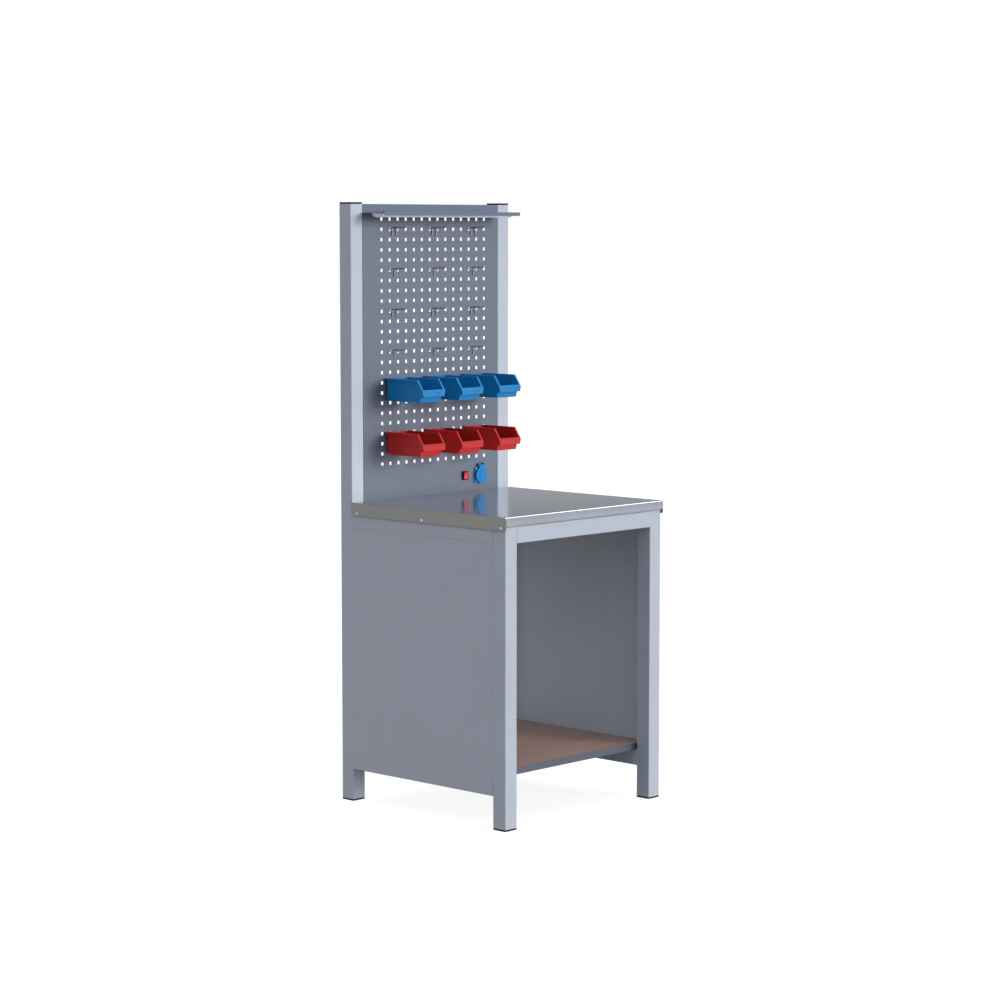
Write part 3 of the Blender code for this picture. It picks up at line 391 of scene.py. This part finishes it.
PAINT_WORN = (0.62, 0.64, 0.66)
PANEL_WORN = (0.17, 0.19, 0.235)
LINES_ALONG_X = (3.0, 170.0, 170.0)
LINES_ALONG_Y = (170.0, 3.0, 170.0)
FINISH = {
    "frame_paint": make_paint("frame_paint", (0.46, 0.52, 0.59), PAINT_WORN, 0.42),
    "panel_paint": make_paint("panel_paint", (0.111, 0.136, 0.183), PANEL_WORN, 0.42, 0.20),
    # The canopy and shelf tray have the panel's paint: these darker copies are painted shade, the canopy's a
    # little bluer too
    "canopy_paint_shaded": make_paint("canopy_paint_shaded", (0.096, 0.128, 0.196), PANEL_WORN, 0.42),
    "shelf_paint_shaded": make_paint("shelf_paint_shaded", (0.068, 0.087, 0.124), PANEL_WORN, 0.42),
    "steel_sheet": make_steel("steel_sheet", (0.375, 0.400, 0.460), 0.14, LINES_ALONG_X, 0.90),
    # The worktop's roll is the same sheet steel; this darker copy is painted shade
    "nose_steel_shaded": make_steel("nose_steel_shaded", (0.345, 0.370, 0.415), 0.13, LINES_ALONG_X, 0.90),
    # The skirts are the same steel as the top; this darker tone on the left skirt is painted shade
    "left_skirt_steel_shaded": make_steel("left_skirt_steel_shaded", (0.170, 0.170, 0.166), 0.20, LINES_ALONG_Y),
    "dark_steel": make_steel("dark_steel", (0.30, 0.32, 0.36), 0.20, (60.0, 60.0, 60.0)),
    "zinc_plate": make_steel("zinc_plate", (0.58, 0.60, 0.62), 0.30, (40.0, 90.0, 90.0)),
    "brass": make_steel("brass", (0.70, 0.50, 0.20), 0.28, (90.0, 30.0, 90.0)),
    "black_plastic": make_plastic("black_plastic", (0.004, 0.004, 0.005), 0.60, 0.12, 0.008),
    "blue_plastic": make_plastic("blue_plastic", (0.003, 0.197, 0.480), 0.42, 0.30),
    "red_plastic": make_plastic("red_plastic", (0.455, 0.015, 0.013), 0.42, 0.30),
    "socket_blue": make_plastic("socket_blue", (0.003, 0.185, 0.470), 0.45, 0.25),
    # The flange is the lid's blue plastic; this lighter copy is painted light against the lid's shade
    "flange_blue_lit": make_plastic("flange_blue_lit", (0.003, 0.260, 0.560), 0.45, 0.25),
    "rocker_red": make_plastic("rocker_red", (0.55, 0.022, 0.022), 0.22, glow=(0.09, 0.001, 0.001)),
    "mark_white": make_plastic("mark_white", (0.80, 0.62, 0.62), 0.40),
    # The lens glows with painted light; its lamp is not lit
    "opal_lens": make_opal("opal_lens", (0.74, 0.74, 0.95), (0.20, 0.22, 0.27)),
    "white_parts": make_paint("white_parts", (0.92, 0.93, 0.97), (0.60, 0.60, 0.60), 0.40),
    "shelf_wood": make_wood("shelf_wood", (0.475, 0.320, 0.252), (0.40, 0.268, 0.205), 0.50),
    "board_core": make_wood("board_core", (0.52, 0.38, 0.23), (0.34, 0.23, 0.13), 0.75, 60.0),
}


# Shape helpers

SIDES = (("left", -1), ("right", 1))
ALONG = 0.99
HAIR = 0.0001
SHARP_ABOVE = 50.0
NODE_MERGE = 0.00002
NODE_FLAT = 1.0
MERGE = 0.00001
FINE_MERGE = 0.000001


def soften(bm, width, steps=2, angle=30.0, wanted=None):
    """Round every edge that turns by more than the angle, or those of them that are wanted."""
    edges = []
    for edge in bm.edges:
        if edge.is_manifold and edge.calc_face_angle() > math.radians(angle):
            if wanted is None or wanted(edge):
                edges.append(edge)
    bmesh.ops.bevel(
        bm, geom=edges, offset=width, offset_type="OFFSET", affect="EDGES", segments=steps, profile=0.5,
        material=-1, clamp_overlap=True)
    return bm


def runs_along(axis):
    """A test for edges that lie along an axis."""
    def test(edge):
        way = (edge.verts[1].co - edge.verts[0].co).normalized()
        return abs(way[axis]) > ALONG
    return test


def block(low, high):
    """A block between two corners."""
    low, high = Vector(low), Vector(high)
    bm = bmesh.new()
    bmesh.ops.create_cube(bm, size=1.0)
    bmesh.ops.scale(bm, vec=high - low, verts=bm.verts)
    bmesh.ops.translate(bm, vec=(low + high) / 2, verts=bm.verts)
    return bm


def disc(centre, way, radius, thickness, sides, far_radius=None):
    """A round or many-sided slab that starts at a centre and grows along a direction."""
    bm = bmesh.new()
    far = radius if far_radius is None else far_radius
    bmesh.ops.create_cone(bm, cap_ends=True, segments=sides, radius1=radius, radius2=far, depth=thickness)
    bmesh.ops.translate(bm, vec=(0, 0, thickness / 2), verts=bm.verts)
    turn = Vector((0, 0, 1)).rotation_difference(Vector(way)).to_matrix().to_4x4()
    bmesh.ops.transform(bm, matrix=Matrix.Translation(centre) @ turn, verts=bm.verts)
    return bm


def merged(shapes):
    """Several closed shapes as the islands of one mesh."""
    whole = bmesh.new()
    for shape in shapes:
        mesh = bpy.data.meshes.new("island")
        shape.to_mesh(mesh)
        shape.free()
        whole.from_mesh(mesh)
        bpy.data.meshes.remove(mesh)
    return whole


def linked(name, data):
    """A new object in the scene."""
    thing = bpy.data.objects.new(name, data)
    bpy.context.scene.collection.objects.link(thing)
    return thing


def piece(name, bm, finish, body="bench", instead=()):
    """Link a finished shape as a visible piece that rides on a body."""
    mesh = bpy.data.meshes.new(name)
    bm.to_mesh(mesh)
    bm.free()
    mesh.materials.append(FINISH[finish])
    mesh.shade_smooth()
    mesh.set_sharp_from_angle(angle=math.radians(SHARP_ABOVE))
    thing = linked(name, mesh)
    flats = thing.modifiers.new("flat_sides", "WEIGHTED_NORMAL")
    flats.keep_sharp = True
    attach(thing, body)
    if instead:
        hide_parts(*instead)
    return thing


def solid_of(node):
    """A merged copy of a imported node, with its flat sides made whole."""
    bm = bmesh.new()
    bm.from_mesh(frame["nodes"][node].data)
    bmesh.ops.remove_doubles(bm, verts=bm.verts, dist=NODE_MERGE)
    bmesh.ops.dissolve_limit(bm, angle_limit=math.radians(NODE_FLAT), verts=bm.verts, edges=bm.edges)
    return bm


def rounded_path(points, radius, steps):
    """Points of a path whose inner corners are rounded."""
    path = [Vector(points[0])]
    for before, here, after in zip(points, points[1:], points[2:]):
        here = Vector(here)
        back = (Vector(before) - here).normalized()
        ahead = (Vector(after) - here).normalized()
        half = back.angle(ahead) / 2
        middle = here + (back + ahead).normalized() * radius / math.sin(half)
        start = (here + back * radius / math.tan(half) - middle).normalized()
        end = (here + ahead * radius / math.tan(half) - middle).normalized()
        for step in range(steps + 1):
            path.append(middle + start.slerp(end, step / steps).normalized() * radius)
    path.append(Vector(points[-1]))
    return path


WIRE_RESOLUTION = 3
WIRE_END = 0.35


def wire(points, radius, bend, steps=6):
    """A round wire with rounded bends and softened ends."""
    curve = bpy.data.curves.new("wire", "CURVE")
    curve.dimensions = "3D"
    curve.bevel_depth = radius
    curve.bevel_resolution = WIRE_RESOLUTION
    curve.use_fill_caps = True
    path = rounded_path(points, bend, steps)
    spline = curve.splines.new("POLY")
    spline.points.add(len(path) - 1)
    for knot, point in zip(spline.points, path):
        knot.co = (*point, 1.0)
    thing = linked("wire", curve)
    mesh = bpy.data.meshes.new_from_object(thing)
    bpy.data.objects.remove(thing)
    bm = bmesh.new()
    bm.from_mesh(mesh)
    bpy.data.meshes.remove(mesh)
    bmesh.ops.remove_doubles(bm, verts=bm.verts, dist=MERGE)
    bmesh.ops.recalc_face_normals(bm, faces=bm.faces)
    return soften(bm, radius * WIRE_END, angle=60.0)


SCREW_SIDES = 24
SCREW_TAPER = 0.8
SCREW_CROWN = 0.4
HEXAGON_SIZE = 0.42
HEXAGON_PROUD = 0.00005


def screw_head(centre, way, radius, height):
    """A low domed head, and the thin hexagon that marks its key hole."""
    head = disc(centre, way, radius, height, SCREW_SIDES, radius * SCREW_TAPER)
    soften(head, height * SCREW_CROWN, angle=20.0)
    top = Vector(centre) + Vector(way) * height
    return [head, disc(top, way, radius * HEXAGON_SIZE, HEXAGON_PROUD, 6)]


# Worktop

TOP_EDGE = 0.0008
SHEET = 0.0015
NOSE_RADIUS = 0.0100
NOSE_BELLY = 0.0275
NOSE_UNDER = 0.0060
NOSE_TURNS = (70, 40, 65)
NOSE_STEPS = 8
SKIRT_CORNER = 0.0100
SKIRT_CORNER_STEPS = 8
SKIRT_LOWER_STEPS = 6
SKIRT_EDGE = 0.0004
SKIRT_SCREWS = (0.27675, -0.00425, -0.33025)
SKIRT_SCREW_Z = 0.8983
SKIRT_SCREW_RADIUS = 0.004


def top_sheet():
    """The flat of the worktop with its rolled front, folded from one sheet."""
    low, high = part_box("worktop_cover")
    half = high.x - TOP_EDGE - SHEET / 2
    reach = NOSE_BELLY + (NOSE_RADIUS - NOSE_BELLY) * math.sin(math.radians(NOSE_TURNS[0]))
    start = low.y + reach
    bm = bmesh.new()
    rear = bm.edges.new([bm.verts.new((x, high.y, high.z)) for x in (-half, half)])
    grown = bmesh.ops.extrude_edge_only(bm, edges=[rear])["geom"]
    moved = [item for item in grown if isinstance(item, bmesh.types.BMVert)]
    bmesh.ops.translate(bm, verts=moved, vec=(0, start - high.y, 0))
    edges = [item for item in grown if isinstance(item, bmesh.types.BMEdge) and runs_along(0)(item)]

    # Each arc of the roll goes on from the last one in its direction, about a centre of its own
    centre = Vector((start, high.z - NOSE_RADIUS))
    turned, last_radius = 0, NOSE_RADIUS
    for radius, degrees in zip((NOSE_RADIUS, NOSE_BELLY, NOSE_UNDER), NOSE_TURNS):
        outward = Vector((-math.sin(math.radians(turned)), math.cos(math.radians(turned))))
        centre += outward * (last_radius - radius)
        spun = bmesh.ops.spin(
            bm, geom=edges, cent=(0, *centre), axis=(1, 0, 0), angle=math.radians(degrees), steps=NOSE_STEPS,
            use_merge=False)["geom_last"]
        edges = [item for item in spun if isinstance(item, bmesh.types.BMEdge)]
        turned, last_radius = turned + degrees, radius

    bmesh.ops.remove_doubles(bm, verts=bm.verts, dist=MERGE)
    bmesh.ops.recalc_face_normals(bm, faces=bm.faces)
    top = max(bm.faces, key=lambda item: item.calc_area())
    if top.normal.z < 0:
        bmesh.ops.reverse_faces(bm, faces=bm.faces)
    bmesh.ops.solidify(bm, geom=bm.faces, thickness=SHEET)

    # The roll takes the sheet's second finish, a darker copy of the sheet steel: painted shade on the roll
    for face in bm.faces:
        face.material_index = int(face.calc_center_median().y < start)
    return bm


def skirt(side):
    """A side skirt of the worktop, rounded at the front of its top and at its lower corners."""
    low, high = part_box("worktop_cover")
    outer = high.x - TOP_EDGE
    near, far = sorted((side * outer, side * (outer - SHEET)))
    plate = block((near, low.y + SHEET / 3, low.z), (far, high.y, high.z))

    def is_low(edge):
        return runs_along(0)(edge) and edge.verts[0].co.z < low.z + SHEET

    def is_front_top(edge):
        return runs_along(0)(edge) and edge.verts[0].co.z > low.z + SHEET and edge.verts[0].co.y < 0

    soften(plate, SKIRT_CORNER, SKIRT_CORNER_STEPS, angle=60.0, wanted=is_front_top)
    soften(plate, NOSE_UNDER, SKIRT_LOWER_STEPS, angle=60.0, wanted=is_low)
    return soften(plate, SKIRT_EDGE, angle=40.0)


def make_worktop_sheet():
    sheet = piece("worktop_sheet", top_sheet(), "steel_sheet", instead=("worktop_cover",))
    # The roll gets the darker copy of the steel: painted shade
    sheet.data.materials.append(FINISH["nose_steel_shaded"])
    # The left skirt is painted darker than the right one: painted shade
    piece("worktop_skirt_left", skirt(-1), "left_skirt_steel_shaded")
    piece("worktop_skirt_right", skirt(1), "steel_sheet")
    skirt_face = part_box("worktop_cover")[1].x - TOP_EDGE
    heads = []
    for side in (-1, 1):
        for y in SKIRT_SCREWS:
            centre = (side * skirt_face, y, SKIRT_SCREW_Z)
            heads += screw_head(centre, (side, 0, 0), SKIRT_SCREW_RADIUS, TOP_EDGE - HAIR)
    piece("skirt_screws", merged(heads), "zinc_plate")


# Frame

SEAM_COVER = 0.0008
SEAM_PROUD = 0.00012
SEAM_HALF = 0.0011
TUBE_EDGE = 0.0024
TUBE_STEPS = 3
PLUG_EDGE = 0.0009


def weld(low, high, axis):
    """A thin ground weld that closes the gap between two tubes, rounded along an axis as they are."""
    low, high = Vector(low), Vector(high)
    for other in {0, 1, 2} - {axis}:
        low[other] += HAIR
        high[other] -= HAIR
    return soften(block(low, high), TUBE_EDGE, TUBE_STEPS, angle=60.0, wanted=runs_along(axis))


def make_welds():
    welds = []
    for side, sign in SIDES:
        for rail in ("front_rail", "rear_rail"):
            low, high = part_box(rail)
            end = sign * high.x
            welds.append(weld((end - SEAM_COVER, low.y, low.z), (end + SEAM_COVER, high.y, high.z), 0))
        for rail in ("side_rail_top_", "side_rail_bottom_"):
            low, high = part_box(rail + side)
            for y in (low.y, high.y):
                welds.append(weld((low.x, y - SEAM_COVER, low.z), (high.x, y + SEAM_COVER, high.z), 1))
    piece("frame_welds", merged(welds), "frame_paint")


def make_panel_seams():
    """Thin fillets that close the gaps between each side panel and the tubes round it."""
    fillets = []
    for side, sign in SIDES:
        low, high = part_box("side_panel_" + side)
        face = high.x if sign > 0 else low.x
        near, far = sorted((face + sign * SEAM_PROUD, face - sign * (SEAM_COVER - SEAM_PROUD)))
        for y in (low.y, high.y):
            fillets.append(block((near, y - SEAM_HALF, low.z), (far, y + SEAM_HALF, high.z)))
        for z in (low.z, high.z):
            start = (near, low.y + SEAM_HALF, z - SEAM_HALF)
            fillets.append(block(start, (far, high.y - SEAM_HALF, z + SEAM_HALF)))
    piece("panel_seams", merged(fillets), "frame_paint")


def make_end_pieces():
    """Foot plates and upright caps with softened edges."""
    for name in ("foot_front_", "foot_rear_", "upright_cap_"):
        for side in ("left", "right"):
            shape = soften(solid_of(name + side), PLUG_EDGE, angle=50.0)
            piece(name + side + "_moulded", shape, "black_plastic", instead=(name + side,))


# Hooks

HOOK_WIRE = 0.0019
HOOK_BAR = 0.0021
HOOK_PRONG_Z = 0.0053
HOOK_PRONG_RISE = 0.0006
HOOK_LEG = 0.0185
HOOK_TIP = (0.0035, 0.0042)
HOOK_SPACING = 0.0179
HOOK_TAIL = 0.010
HOOK_BEND = 0.0040
HOOK_BAR_BEND = 0.0026
HOOK_BAR_STEPS = 4
HOOK_GAP = 0.0002
SINGLE_REACH = 0.048


def hook_shapes(low, high):
    """A bar whose tails catch in two holes, and one or two prongs with a leg below, in a node's box."""
    panel_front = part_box("perforated_panel")[0].y
    x = (low.x + high.x) / 2
    half = (high.x - low.x) / 2 - HOOK_BAR
    z = low.z + HOOK_LEG
    bar_y = panel_front - HOOK_BAR - HOOK_GAP
    tail_y = high.y - HOOK_BAR
    shapes = [wire([
        (x - half, tail_y, z + HOOK_TAIL), (x - half, tail_y, z), (x - half, bar_y, z), (x + half, bar_y, z),
        (x + half, tail_y, z), (x + half, tail_y, z + HOOK_TAIL)], HOOK_BAR, HOOK_BAR_BEND, HOOK_BAR_STEPS)]
    is_single = low.y < panel_front - SINGLE_REACH
    leg_y = panel_front - HOOK_WIRE - HOOK_GAP
    knee = low.y + HOOK_TIP[0] + HOOK_WIRE
    prong_z = z + HOOK_PRONG_Z
    for offset in (0.0,) if is_single else (-HOOK_SPACING / 2, HOOK_SPACING / 2):
        shapes.append(wire([
            (x + offset, leg_y, z - HOOK_LEG), (x + offset, leg_y, prong_z),
            (x + offset, knee, prong_z + HOOK_PRONG_RISE),
            (x + offset, knee - HOOK_TIP[0], prong_z + HOOK_TIP[1])], HOOK_WIRE, HOOK_BEND))
    return shapes


def make_wire_hooks():
    for name in frame["nodes"]:
        if name.startswith("hook_"):
            piece(name + "_wire", merged(hook_shapes(*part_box(name))), "dark_steel", instead=(name,))


# Bins

BIN_EDGE = 0.0005
LIP_SKIN = 0.0003
LIP_LINE = 0.0030
LIP_LINE_AT = 0.735
LIP_LINE_DEPTH = 0.0014


def cut_across(bm, faces, place, way):
    """Split faces along a plane."""
    edges = {edge for face in faces for edge in face.edges}
    verts = {vert for face in faces for vert in face.verts}
    bmesh.ops.bisect_plane(
        bm, geom=[*faces, *edges, *verts], dist=FINE_MERGE, plane_co=place, plane_no=way)


def score_lip(bm):
    """A fine sunk line down the front lip of a bin."""
    left = min(vert.co.x for vert in bm.verts)
    right = max(vert.co.x for vert in bm.verts)
    front = min(vert.co.y for vert in bm.verts)

    def lip():
        return [face for face in bm.faces
                if face.normal.y < -ALONG and face.calc_center_median().y < front + LIP_SKIN]

    heights = [vert.co.z for face in lip() for vert in face.verts]
    bottom, top = min(heights) + LIP_LINE, max(heights) - LIP_LINE
    x = left + LIP_LINE_AT * (right - left)
    for axis, place in ((0, x - LIP_LINE / 2), (0, x + LIP_LINE / 2), (2, bottom), (2, top)):
        way = Vector((0, 0, 0))
        way[axis] = 1.0
        cut_across(bm, lip(), way * place, way)
    middle = [face for face in lip() if abs(face.calc_center_median().x - x) < LIP_LINE / 2
              and bottom < face.calc_center_median().z < top]
    sunk = bmesh.ops.extrude_discrete_faces(bm, faces=middle)["faces"]
    bmesh.ops.translate(bm, vec=(0, LIP_LINE_DEPTH, 0), verts=[vert for face in sunk for vert in face.verts])


def make_moulded_bins():
    """Bins with the small radii of a moulding on all their edges."""
    for name in frame["nodes"]:
        if not name.startswith("bin_") or "hanger" in name:
            continue
        shape = soften(solid_of(name), BIN_EDGE, angle=25.0)
        score_lip(shape)
        colour = "blue_plastic" if "upper" in name else "red_plastic"
        piece(name + "_moulded", shape, colour, name, instead=(name,))


# Socket and switch

SOCKET_GAP = 0.0003
SOCKET_FLANGE = 0.004
SOCKET_EDGE = 0.0005
SOCKET_SCREW = 0.019
SOCKET_SCREW_RADIUS = 0.0026
SOCKET_SCREW_HEIGHT = 0.0008
LID_EDGE = 0.0006
SWITCH_EDGE = 0.0005
ROCKER_EDGE = 0.0006
MARK_RISE = 0.0047
MARK_SIZE = 0.0038
MARK_LINE = 0.0009
MARK_PROUD = 0.0002
MARK_STEPS = 24
PROBE = 0.01


def make_socket_pieces():
    base_low, base_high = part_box("socket_base")
    lid_low, lid_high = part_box("socket_lid")
    x = (base_low.x + base_high.x) / 2
    z = lid_low.z + (lid_high.x - lid_low.x) / 2
    flange_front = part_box("perforated_panel")[0].y - SOCKET_GAP - SOCKET_FLANGE
    heads = []
    for sign_x in (-1, 1):
        for sign_z in (-1, 1):
            spot = (x + sign_x * SOCKET_SCREW, flange_front, z + sign_z * SOCKET_SCREW)
            heads += screw_head(spot, (0, -1, 0), SOCKET_SCREW_RADIUS, SOCKET_SCREW_HEIGHT)
    piece("socket_screws", merged(heads), "zinc_plate")
    base = soften(solid_of("socket_base"), SOCKET_EDGE, angle=40.0)
    # The flange gets the lighter copy of the blue: painted light
    piece("socket_base_moulded", base, "flange_blue_lit", instead=("socket_base",))
    lid = soften(solid_of("socket_lid"), LID_EDGE, angle=40.0)
    piece(
        "socket_lid_moulded", lid, "socket_blue", "socket_lid", instead=("socket_lid",))


def bar_mark():
    """The ON mark, a short upright bar."""
    half = Vector((MARK_LINE / 2, MARK_PROUD, MARK_SIZE / 2))
    return soften(block(-half, half), HAIR)


def ring_mark():
    """The OFF mark, a ring."""
    outer, inner = MARK_SIZE / 2, MARK_SIZE / 2 - MARK_LINE
    section = ((outer, -MARK_PROUD), (inner, -MARK_PROUD), (inner, MARK_PROUD), (outer, MARK_PROUD))
    bm = bmesh.new()
    corners = [bm.verts.new((radius, y, 0)) for radius, y in section]
    edges = [bm.edges.new((corners[index - 1], corners[index])) for index in (1, 2, 3, 0)]
    bmesh.ops.spin(
        bm, geom=corners + edges, cent=(0, 0, 0), axis=(0, 1, 0), angle=2 * math.pi, steps=MARK_STEPS,
        use_merge=True)
    bmesh.ops.remove_doubles(bm, verts=bm.verts, dist=FINE_MERGE)
    bmesh.ops.recalc_face_normals(bm, faces=bm.faces)
    return bm


def make_switch_pieces():
    body = soften(solid_of("switch_body"), SWITCH_EDGE, angle=50.0)
    piece("switch_body_moulded", body, "black_plastic", instead=("switch_body",))
    rocker = soften(solid_of("switch_rocker"), ROCKER_EDGE, angle=25.0)
    low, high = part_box("switch_rocker")
    middle = (low + high) / 2
    skin = BVHTree.FromBMesh(rocker)
    marks = []
    for rise, shape in ((MARK_RISE, bar_mark), (-MARK_RISE, ring_mark)):
        probe = Vector((middle.x, low.y - PROBE, middle.z + rise))
        spot, normal = skin.ray_cast(probe, Vector((0, 1, 0)))[:2]
        turn = Vector((0, -1, 0)).rotation_difference(normal).to_matrix().to_4x4()
        mark = shape()
        bmesh.ops.transform(mark, matrix=Matrix.Translation(spot) @ turn, verts=mark.verts)
        marks.append(mark)
    piece("switch_rocker_moulded", rocker, "rocker_red", "rocker", instead=("switch_rocker",))
    piece("switch_marks", merged(marks), "mark_white", "rocker")


# Nodes that are shown as packed

# Darker copies of the panel paint, which paint shade on the canopy and shelf tray
NODE_SHADED_PAINT = {"canopy": "canopy_paint_shaded", "shelf_tray": "shelf_paint_shaded"}


def dress_nodes():
    """Each node gets the finish of its material slot, except the canopy and shelf tray, which get darker
    copies of the panel paint: painted shade.
    """
    for part in frame["record"]["subparts"]:
        mesh = frame["nodes"][part["node"]].data
        mesh.materials.clear()
        finish = NODE_SHADED_PAINT.get(part["node"], part["material_slot"])
        mesh.materials.append(FINISH[finish])


# Stage

def seen_share(tree):
    """1 for rays from the camera, or mirrored or passed on to it, and 0 for light that falls on the bench."""
    path = add(tree, "LightPath").outputs
    direct = math_node(tree, "ADD", path["Is Camera Ray"], path["Is Glossy Ray"])
    return math_node(tree, "ADD", direct, path["Is Transmission Ray"], clamp=True)


def height_share(tree, height, low, high):
    """0 below one angle over the horizon, and 1 above another."""
    return spread(tree, height, math.sin(math.radians(low)), math.sin(math.radians(high)))


def make_world():
    world = bpy.data.worlds.new("studio")
    bpy.context.scene.world = world
    world.use_nodes = True
    tree = world.node_tree
    way = add(tree, "TexCoord").outputs["Generated"]
    height = add(tree, "SeparateXYZ", {0: way}).outputs["Z"]
    side = add(tree, "VectorMath", {0: way, 1: BRIGHT_SIDE}, operation="DOT_PRODUCT").outputs["Value"]
    dim_side = spread(tree, side, BRIGHT_FROM, BRIGHT_FULL, 1.0, 0.0)
    dim = product(tree, height_share(tree, height, WHITE_BELOW, GREY_ABOVE), dim_side)
    rise = height_share(tree, height, GREY_BELOW, HIGH_ABOVE)
    dome = mix_colour(tree, rise, opaque(BACKDROP_GREY), opaque(BACKDROP_HIGH))
    white = grey(BACKDROP_WHITE)
    seen = mix_colour(tree, dim, white, dome)
    horizon = opaque(AMBIENT_HORIZON * share for share in AMBIENT_TINT)
    zenith = opaque(AMBIENT_TOP * share for share in AMBIENT_TINT)
    fill = mix_colour(tree, spread(tree, height, 0.0, 1.0), horizon, zenith)
    lit = mix_colour(tree, seen_share(tree), fill, seen)
    straight = add(tree, "LightPath").outputs["Is Camera Ray"]
    fill_inputs(tree, tree.nodes["Background"], {"Color": mix_colour(tree, straight, lit, white)})


def make_lamp(name, towards, strength, angle):
    lamp = bpy.data.lights.new(name, "SUN")
    lamp.energy = strength
    lamp.angle = math.radians(angle)
    linked(name, lamp).rotation_euler = Vector(towards).to_track_quat("Z", "Y").to_euler()


def make_bounce():
    """Light that the bright worktop throws back up at the panel and the bins."""
    lamp = bpy.data.lights.new("top_bounce", "AREA")
    lamp.shape = "RECTANGLE"
    lamp.size, lamp.size_y = BOUNCE_SIZE
    lamp.energy = BOUNCE_POWER
    thing = linked("top_bounce", lamp)
    thing.location = BOUNCE_PLACE
    thing.rotation_euler = (math.pi, 0.0, 0.0)
    thing.visible_camera = False
    thing.visible_glossy = False


def floor_material():
    """White to the camera but for the bench's shadow, and darker as a source of light on the bench."""
    material = bpy.data.materials.new("floor")
    material.use_nodes = True
    tree = material.node_tree
    tree.nodes.remove(tree.nodes["Principled BSDF"])
    bounce = add(tree, "BsdfDiffuse", {"Color": grey(FLOOR_BOUNCE)})
    shade = add(tree, "BsdfDiffuse", {"Color": grey(FLOOR_SHADOW_SHARE)})
    glow = add(tree, "Emission", {"Color": grey(1.0), "Strength": FLOOR_GLOW})
    white = add(tree, "AddShader", {0: shade.outputs[0], 1: glow.outputs[0]})
    both = add(tree, "MixShader", {0: seen_share(tree), 1: bounce.outputs[0], 2: white.outputs[0]})
    fill_inputs(tree, tree.nodes["Material Output"], {"Surface": both.outputs[0]})
    return material


def make_floor():
    bm = bmesh.new()
    bmesh.ops.create_grid(bm, x_segments=1, y_segments=1, size=FLOOR_SIZE / 2)
    bmesh.ops.translate(bm, verts=bm.verts, vec=(0, 0, -FLOOR_DROP))
    mesh = bpy.data.meshes.new("floor")
    bm.to_mesh(mesh)
    bm.free()
    mesh.materials.append(floor_material())
    linked("floor", mesh)


def make_camera():
    data = bpy.data.cameras.new("camera")
    data.lens = CAMERA_LENS
    data.sensor_width = CAMERA_SENSOR
    data.shift_x, data.shift_y = CAMERA_SHIFT
    data.clip_end = 2 * FLOOR_SIZE
    camera = linked("camera", data)
    camera.location = CAMERA_PLACE
    camera.rotation_euler = [math.radians(angle) for angle in CAMERA_TURN]
    bpy.context.scene.camera = camera


make_camera()
make_world()
make_lamp("key", KEY_TOWARDS, KEY_STRENGTH, KEY_ANGLE)
make_lamp("side", SIDE_TOWARDS, SIDE_STRENGTH, SIDE_ANGLE)
make_bounce()
make_floor()
dress_nodes()
make_worktop_sheet()
make_welds()
make_panel_seams()
make_end_pieces()
make_wire_hooks()
make_moulded_bins()
make_socket_pieces()
make_switch_pieces()
bpy.context.scene.view_settings.view_transform = "Standard"
